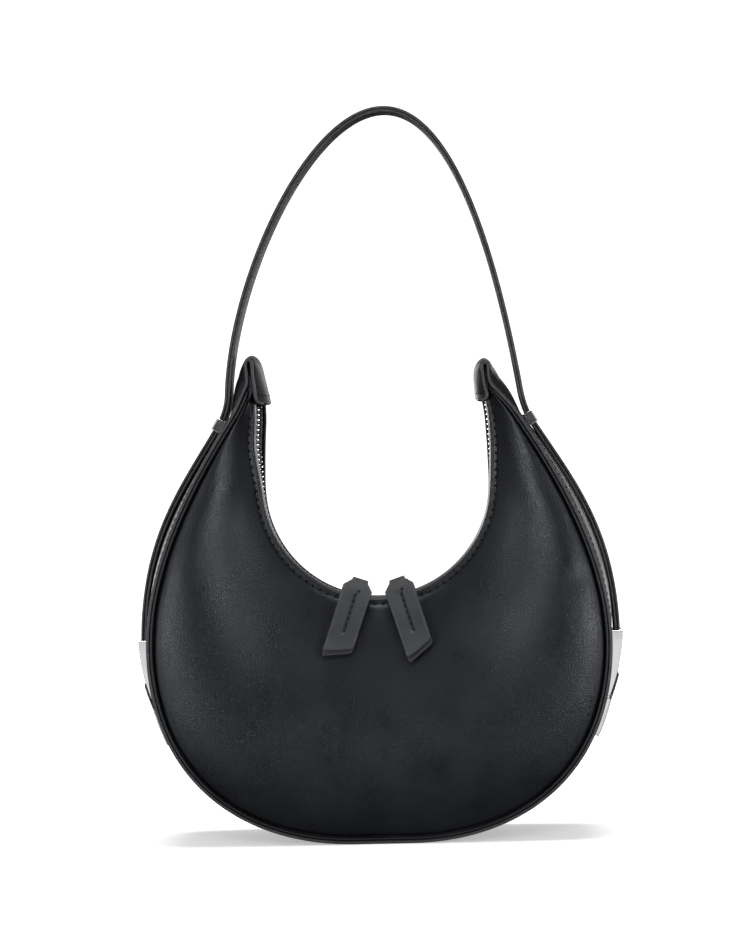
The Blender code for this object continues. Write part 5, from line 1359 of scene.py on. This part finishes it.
def make_pulls(sizes):
    """The wire rings, the folded leather pulls on them, and their one line of stitches."""
    keys = rounded_loop(RING_WIDTH - RING_WIRE, RING_REACH, 0.0014, 6)
    reach = keys[:, 1] + RING_REACH / 2
    path = np.stack([keys[:, 0], -reach * cos(RING_RISE), reach * sin(RING_RISE)], axis=1)
    plane = np.array([0.0, sin(RING_RISE), cos(RING_RISE)])
    way = unit(np.roll(path, -1, axis=0) - np.roll(path, 1, axis=0))
    body = carried(path, np.cross(way, plane), plane, circle_loop(RING_WIRE / 2, 14), wrap=True)
    strip, seam, face = pull_body()
    sewn = stitch_row(seam, face, PULL_STITCH_PITCH, PULL_STITCH_LENGTH, sizes.stitch_thickness * HEAVY_THREAD, 0.35)
    hook = seam[:1] + np.array([(-0.0002, 0.0, 0.0006), (0.0012, 0.0, 0.0011), (0.0026, 0.0, 0.0009)])
    hook[:, 1] = seam[0, 1] - 0.0002
    hooked = stitch_row(hook, np.repeat(face[:1], 3, 0), 0.0015, 0.0016, sizes.stitch_thickness * HOOK_THREAD, 0.4)
    sewn = joined([sewn, hooked])
    for word, side in SIDES:
        angle, place = -side * (SLIDER_ANGLE + PULL_SPLAY), pull_pivot(side)
        make_piece("bag_pull_ring_" + word, moved_body(body, angle, place), finish_of("polished_steel"), "pull_" + word,
                   ["pull_ring_" + word], crease=60.0)
        make_piece("bag_pull_" + word, moved_body(strip, angle, place), finish_of("pull_leather"), "pull_" + word,
                   ["pull_" + word], crease=50.0)
        make_piece("bag_pull_stitches_" + word, moved_body(sewn, angle, place), finish_of("thread"), "pull_" + word)


def strap_sheet(outer):
    """Outer side of one strap layer: the strap's line moved out or in, with a pressed line beside each edge."""
    line = evenly(strap_line(), 330)
    out = -normals(line)
    half = STRAP_WIDTH / 2 - STRAP_LAYER / 2
    y = np.concatenate([[-half], np.linspace(-half + 0.0004, half - 0.0004, 35), [half]])
    crease = STRAP_CREASE_DEPTH * bell(STRAP_WIDTH / 2 - np.abs(y) - STRAP_STITCH_IN, STRAP_CREASE_WIDTH)
    crown = STRAP_CROWN * (1.0 - (y / half) ** 2)
    far = GAP / 2 + STRAP_LAYER
    sign = 1.0 if outer else -1.0
    offset = far * sign + (crown - crease - STRAP_CROWN) * sign
    grid = in_space(line[:, None] + out[:, None] * offset[None, :, None], y[None] * np.ones((len(line), 1)))
    return grid, in_space(out) * sign


def make_strap(sizes):
    """Both layers run from sleeve to sleeve; they bend between the bag and the arch just above the keepers."""
    for word, outer in (("outer", True), ("inner", False)):
        nodes = ["strap_%s_layer" % word, "strap_tail_left_" + word, "strap_tail_right_" + word]
        grid, face = strap_sheet(outer)
        body = sheet_body(grid, STRAP_LAYER, (0.0, 0.0, 1.0 if outer else -1.0), 3, rim_reach=0.0007)
        layer = make_piece("bag_strap_%s_layer" % word, body, finish_of("strap_leather"), None, nodes)
        rows = []
        for sign in (-1.0, 1.0):
            y = sign * (STRAP_WIDTH / 2 - STRAP_STITCH_IN)
            column = int(np.argmin(np.abs(grid[0, :, 1] - y)))
            rows.append(stitch_row(grid[:, column], face, sizes.stitch_pitch, sizes.stitch_pitch * SEAM_STITCH_SHARE,
                                   sizes.stitch_thickness, 0.85))
        sewn = make_piece("bag_strap_%s_stitches" % word, joined(rows), finish_of("thread"), None, ())
        for obj in (layer, sewn):
            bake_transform(obj)


def keeper_body():
    """A loop round the strap: a flat bar's section carried round a rounded rectangle, set on the band."""
    middle, normal, tangent = keeper_frame()
    width = STRAP_WIDTH + 2 * KEEPER_SIDE_GAP + KEEPER_WALL
    height = belt_thick() + 2 * GAP + KEEPER_WALL
    keys = rounded_loop(width, height, 0.0006, 6)
    keys = np.concatenate([keys[:14], between(keys[13], keys[14], 3), keys[14:],
                           between(keys[-1], keys[0], 3)])
    way = unit(np.roll(keys, -1, axis=0) - np.roll(keys, 1, axis=0))
    out = np.stack([-way[:, 1], way[:, 0]], axis=1)
    axis_n, axis_y = in_space(normal), np.array([0.0, 1.0, 0.0])
    path = in_space(middle) + keys[:, :1] * axis_y + keys[:, 1:] * axis_n
    up = out[:, :1] * axis_y + out[:, 1:] * axis_n
    section = rounded_loop(KEEPER_LENGTH, KEEPER_WALL, 0.00028, 3)
    return carried(path, in_space(tangent), up, section, wrap=True)


def between(a, b, count):
    """Points on the straight line between two others, without them."""
    t = (np.arange(count) + 1.0)[:, None] / (count + 1.0)
    return a + (b - a) * t


def beside_flank(heights, offsets):
    """Points of the XZ plane that stand off the middle of the band at heights."""
    point, normal = on_flank(np.asarray(heights))
    return point + normal * np.asarray(offsets)[..., None]


def plate_solid(name, outline, width, side):
    """A flat-sided fitting: its outline in XZ carried across the bag."""
    loops = np.stack([in_space(outline * (side, 1.0), y) for y in (-width / 2, width / 2)])
    return ngon_tube(name, loops)


def make_fittings(sizes):
    """Keepers, strap sleeves and anchor plates, with their edges softened, and a finish for the plates behind them."""
    steel = finish_of("polished_steel")
    width = STRAP_WIDTH + 2 * GAP + 2 * SLEEVE_SIDE_WALL
    near = SLEEVE_STAND_OFF
    t = np.linspace(0.0, 1.0, 9)
    inner = beside_flank(SLEEVE_FOOT + (SLEEVE_TOP - SLEEVE_FOOT) * t, near + 0 * t)
    upper = beside_flank(SLEEVE_TOP + (SLEEVE_SHOULDER - SLEEVE_TOP) * t,
                         near + SLEEVE_THICKS[0] + (SLEEVE_THICKS[1] - SLEEVE_THICKS[0]) * t)
    lower = beside_flank(SLEEVE_SHOULDER + (SLEEVE_FOOT - SLEEVE_SHOULDER) * t[1:],
                         near + SLEEVE_THICKS[1] + (SLEEVE_THICKS[2] - SLEEVE_THICKS[1]) * t[1:])
    sleeve_outline = np.concatenate([inner, upper, lower])
    low, floor = near + SLEEVE_WALL, SLEEVE_TOP - SLEEVE_SOCKET_DEPTH
    high = low + belt_thick() + 2 * GAP
    socket = beside_flank([floor, SLEEVE_TOP + 0.006, SLEEVE_TOP + 0.006, floor], [low, low, high, high])
    face = GAP + ANCHOR_THICK
    rise = ANCHOR_BOTTOM + (ANCHOR_SHOULDER - ANCHOR_BOTTOM) * t
    lip = ANCHOR_SHOULDER + (ANCHOR_LIP_TOP - ANCHOR_SHOULDER) * t
    anchor_outline = np.concatenate([
        beside_flank(rise, GAP + 0 * t), beside_flank(lip, face - ANCHOR_LIP_THICK + ANCHOR_LIP_RISE * t),
        beside_flank(lip[::-1], face + ANCHOR_LIP_RISE * t[::-1]), beside_flank(rise[::-1][1:], face + 0 * t[1:])])
    keeper = keeper_body()
    for word, side in SIDES:
        make_piece("bag_keeper_" + word, keeper if side > 0 else flipped(keeper), steel, "bag", ["keeper_" + word],
                   crease=12.0)
        sleeve = plate_solid("bag_strap_sleeve_" + word, sleeve_outline, width, side)
        cut_away(sleeve, plate_solid("socket", socket, STRAP_WIDTH + 2 * GAP, side))
        anchor = plate_solid("bag_anchor_plate_" + word, anchor_outline, width, side)
        for obj, node in ((sleeve, "strap_sleeve_" + word), (anchor, "anchor_plate_" + word)):
            dress(obj, steel)
            obj.data.shade_smooth()
            soften(obj, FITTING_EDGE, 3, 30.0)
            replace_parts(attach(obj, "bag"), node)
        for node in ("keeper_backing_" + word, "anchor_backing_" + word):
            dress(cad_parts[node], steel)


# Stage.


def stage_material(name, colour, shown):
    """A pale surface that keeps its shadow: it adds light of its own to what the camera sees, and to mirrors
    only well in front of the bag."""
    material = bpy.data.materials.new(name)
    material.use_nodes = True
    tree = material.node_tree
    tree.nodes.clear()
    out = add_node(tree, "ShaderNodeOutputMaterial", (600, 0))
    matt = add_node(tree, "ShaderNodeBsdfDiffuse", (0, 120))
    glow = add_node(tree, "ShaderNodeEmission", (200, -120))
    path = add_node(tree, "ShaderNodeLightPath", (-500, -200))
    dimmed = mixed(tree, (-250, 120), path.outputs["Is Glossy Ray"], colour, tinted(colour, FLOOR_MIRROR_SHARE))
    tree.links.new(dimmed, matt.inputs["Color"])
    seen = maths(tree, "MAXIMUM", (-300, -150), path.outputs["Is Camera Ray"], path.outputs["Is Transmission Ray"])
    place = add_node(tree, "ShaderNodeTexCoord", (-900, -400))
    parts = add_node(tree, "ShaderNodeSeparateXYZ", (-700, -400))
    tree.links.new(place.outputs["Object"], parts.inputs[0])
    near = ranged(tree, (-500, -400), parts.outputs["Y"], 0.0, STUDIO_WHITE, *FLOOR_MIRROR_NEAR)
    far = ranged(tree, (-500, -600), parts.outputs["Y"], 1.0, 0.0, *FLOOR_MIRROR_FAR)
    mirror = maths(tree, "MULTIPLY", (-300, -500), near, far)
    mirror = maths(tree, "MULTIPLY", (-300, -350), mirror, path.outputs["Is Glossy Ray"])
    aside = maths(tree, "ABSOLUTE", (-500, -800), parts.outputs["Y"])
    glowing = maths(tree, "MULTIPLY", (-150, -250), ranged(tree, (-300, -800), aside, shown, 1.0, 0.10, 0.60), seen)
    tree.links.new(maths(tree, "ADD", (0, -150), glowing, mirror), glow.inputs["Strength"])
    both = add_node(tree, "ShaderNodeAddShader", (400, 0))
    tree.links.new(matt.outputs[0], both.inputs[0])
    tree.links.new(glow.outputs[0], both.inputs[1])
    tree.links.new(both.outputs[0], out.inputs["Surface"])
    return material


def add_lamp(name, place, aim, power, width, height):
    """A rectangular soft lamp, turned to face a point."""
    light = bpy.data.lights.new(name, "AREA")
    light.energy = power
    light.shape = "RECTANGLE"
    light.size, light.size_y = width, height
    lamp = new_object(name, light)
    lamp.location = place
    lamp.rotation_euler = (Vector(aim) - Vector(place)).to_track_quat("-Z", "Y").to_euler()


# Name, place, aim, power in watts, width and height.
LAMPS = [
    ("key_left", (-0.86, -1.31, 0.13), (-0.05, 0.0, 0.10), 16.5, 0.40, 0.50),
    ("key_right", (0.84, -1.32, 0.18), (0.05, 0.0, 0.12), 15.5, 0.40, 0.50),
    ("above", (0.0, -1.25, 0.98), (0.0, 0.0, 0.15), 2.4, 1.10, 0.14),
    ("top", (0.0, 0.05, 1.30), (0.0, 0.0, 0.1), 20.0, 0.8, 0.5),
    ("rear_left", (-0.80, 1.30, 0.30), (0.0, 0.0, 0.12), 6.0, 0.44, 0.56),
    ("rear_right", (0.80, 1.30, 0.30), (0.0, 0.0, 0.12), 4.0, 0.44, 0.56),
]
# Brightness of the studio in reflections, behind and in front of the bag, and of its diffuse light.
STUDIO_WHITE, STUDIO_DARK, STUDIO_AMBIENT = 0.85, 0.05, 0.33
# The floor: half its width, its colour, its own light beside the bag, its colour's share in mirrors, and the
# distances in front of the bag between which mirrors show it white.
FLOOR_HALF, FLOOR_COLOUR, FLOOR_SHOWN, FLOOR_MIRROR_SHARE = 8.0, (0.80, 0.80, 0.80), 0.36, 0.09
FLOOR_MIRROR_NEAR, FLOOR_MIRROR_FAR = (-0.30, -0.50), (-1.60, -2.00)
BACKDROP_STRENGTH = 1.05
CAMERA_DISTANCE, CAMERA_HEIGHT, CAMERA_AIM = 1.5, 0.215, (-0.0007, 0.0, 0.185)
CAMERA_SWING, CAMERA_ROLL, CAMERA_LENS = radians(2.2), radians(-1.5), 110.7


def make_floor():
    """One pale square under the bag."""
    floor = bpy.data.meshes.new("stage_floor")
    corners = [(x * FLOOR_HALF, y * FLOOR_HALF, 0.0) for x, y in ((-1, -1), (1, -1), (1, 1), (-1, 1))]
    floor.from_pydata(corners, [], [(0, 1, 2, 3)])
    obj = new_object("stage_floor", floor)
    dress(obj, stage_material("stage_floor", FLOOR_COLOUR, FLOOR_SHOWN))


def make_world():
    """A white backdrop for the camera, an even light on the object, and pale walls beside and behind for mirrors."""
    world = bpy.data.worlds.new("studio")
    world.use_nodes = True
    tree = world.node_tree
    tree.nodes.clear()
    out = add_node(tree, "ShaderNodeOutputWorld", (600, 0))
    ground = add_node(tree, "ShaderNodeBackground", (300, 0))
    path = add_node(tree, "ShaderNodeLightPath", (-700, 0))
    seen = maths(tree, "MAXIMUM", (-450, 0), path.outputs["Is Camera Ray"], path.outputs["Is Transmission Ray"])
    place = add_node(tree, "ShaderNodeTexCoord", (-1100, -300))
    parts = add_node(tree, "ShaderNodeSeparateXYZ", (-900, -300))
    tree.links.new(place.outputs["Generated"], parts.inputs[0])
    behind = ranged(tree, (-500, -300), parts.outputs["Y"], STUDIO_DARK, STUDIO_WHITE, 0.55, 0.85)
    aside = maths(tree, "ABSOLUTE", (-700, -500), parts.outputs["X"])
    beside = ranged(tree, (-500, -500), aside, STUDIO_DARK, STUDIO_WHITE, 0.52, 0.78)
    glossy = path.outputs["Is Glossy Ray"]
    mirror = maths(tree, "MULTIPLY", (-250, -200), maths(tree, "MAXIMUM", (-350, -400), behind, beside), glossy)
    ambient = maths(tree, "MULTIPLY_ADD", (-250, -380), glossy, -STUDIO_AMBIENT, STUDIO_AMBIENT)
    rest = maths(tree, "ADD", (-50, -260), mirror, ambient)
    strength = maths(tree, "MULTIPLY_ADD", (120, 0), seen, BACKDROP_STRENGTH, rest)
    tree.links.new(strength, ground.inputs["Strength"])
    ground.inputs["Color"].default_value = (1.0, 1.0, 1.0, 1.0)
    tree.links.new(ground.outputs[0], out.inputs["Surface"])
    bpy.context.scene.world = world


def make_stage():
    """Floor, studio light, lamps, and the camera at the photograph's angle."""
    make_floor()
    make_world()
    for lamp in LAMPS:
        add_lamp(*lamp)
    camera = bpy.data.cameras.new("photo_view")
    camera.lens, camera.sensor_width = CAMERA_LENS, 36.0
    camera.clip_start, camera.clip_end = 0.05, 60.0
    view = new_object("photo_view", camera)
    place = Vector((sin(CAMERA_SWING) * CAMERA_DISTANCE, -cos(CAMERA_SWING) * CAMERA_DISTANCE, CAMERA_HEIGHT))
    look = (Vector(CAMERA_AIM) - place).to_track_quat("-Z", "Y").to_matrix().to_4x4()
    view.matrix_world = Matrix.Translation(place) @ look @ Matrix.Rotation(CAMERA_ROLL, 4, "Z")
    bpy.context.scene.camera = view
    bpy.context.scene.view_settings.view_transform = "Standard"


# Operators, panel and registration.


class BagMaker:
    """One step of the bag, run with the scene's sizes."""

    bl_options = {"REGISTER", "UNDO"}
    make = None

    def execute(self, context):
        type(self).make(context.scene.bag_sizes)
        return {"FINISHED"}


class BAG_OT_band(BagMaker, bpy.types.Operator):
    """Make the gusset band, with its tabs and seam stitches"""
    bl_idname, bl_label = "bag.band", "Gusset Band"
    make = staticmethod(make_band)


class BAG_OT_welts(BagMaker, bpy.types.Operator):
    """Make the front and back welts inside the seam"""
    bl_idname, bl_label = "bag.welts", "Edge Welts"
    make = staticmethod(make_welts)


class BAG_OT_panels(BagMaker, bpy.types.Operator):
    """Make the two crescent panels and the stitches beside the mouth"""
    bl_idname, bl_label = "bag.panels", "Panels"
    make = staticmethod(make_panels)


class BAG_OT_linings(BagMaker, bpy.types.Operator):
    """Make the linings, pocket, base board and horn fillers"""
    bl_idname, bl_label = "bag.linings", "Linings"
    make = staticmethod(make_linings)


class BAG_OT_zip(BagMaker, bpy.types.Operator):
    """Make the zip's tapes, teeth and end stops"""
    bl_idname, bl_label = "bag.zip", "Zip"
    make = staticmethod(make_zip)


class BAG_OT_sliders(BagMaker, bpy.types.Operator):
    """Make the two sliders and their crowns"""
    bl_idname, bl_label = "bag.sliders", "Sliders"
    make = staticmethod(make_sliders)


class BAG_OT_pulls(BagMaker, bpy.types.Operator):
    """Make the wire rings and the folded leather pulls"""
    bl_idname, bl_label = "bag.pulls", "Pulls"
    make = staticmethod(make_pulls)


class BAG_OT_strap(BagMaker, bpy.types.Operator):
    """Make the strap's two layers and its stitches"""
    bl_idname, bl_label = "bag.strap", "Strap"
    make = staticmethod(make_strap)


class BAG_OT_fittings(BagMaker, bpy.types.Operator):
    """Make the keepers, strap sleeves and anchor plates"""
    bl_idname, bl_label = "bag.fittings", "Fittings"
    make = staticmethod(make_fittings)


class BAG_OT_stage(bpy.types.Operator):
    """Make the floor, the studio light and the camera"""
    bl_idname, bl_label = "bag.stage", "Stage"
    bl_options = {"REGISTER", "UNDO"}

    def execute(self, context):
        make_stage()
        return {"FINISHED"}


MAKERS = (BAG_OT_band, BAG_OT_welts, BAG_OT_panels, BAG_OT_linings, BAG_OT_zip, BAG_OT_sliders, BAG_OT_pulls,
          BAG_OT_strap, BAG_OT_fittings, BAG_OT_stage)


class BAG_PT_panel(bpy.types.Panel):
    """Sizes, colours and steps of the bag"""
    bl_idname, bl_label = "BAG_PT_panel", "Crescent Shoulder Bag"
    bl_space_type, bl_region_type, bl_category = "VIEW_3D", "UI", "Bag"

    def draw(self, context):
        for group in (context.scene.bag_sizes, context.scene.bag_colours):
            box = self.layout.box()
            for name in group.__annotations__:
                box.prop(group, name)
        column = self.layout.column(align=True)
        for maker in MAKERS:
            column.operator(maker.bl_idname)


CLASSES = (BagSizes, BagColours, *MAKERS, BAG_PT_panel)


def register():
    for cls in CLASSES:
        bpy.utils.register_class(cls)
    bpy.types.Scene.bag_sizes = bpy.props.PointerProperty(type=BagSizes)
    bpy.types.Scene.bag_colours = bpy.props.PointerProperty(type=BagColours)


def unregister():
    del bpy.types.Scene.bag_colours
    del bpy.types.Scene.bag_sizes
    for cls in reversed(CLASSES):
        bpy.utils.unregister_class(cls)


def main():
    register()
    for maker in MAKERS:
        group, step = maker.bl_idname.split(".")
        getattr(getattr(bpy.ops, group), step)()


if __name__ == "__main__":
    main()
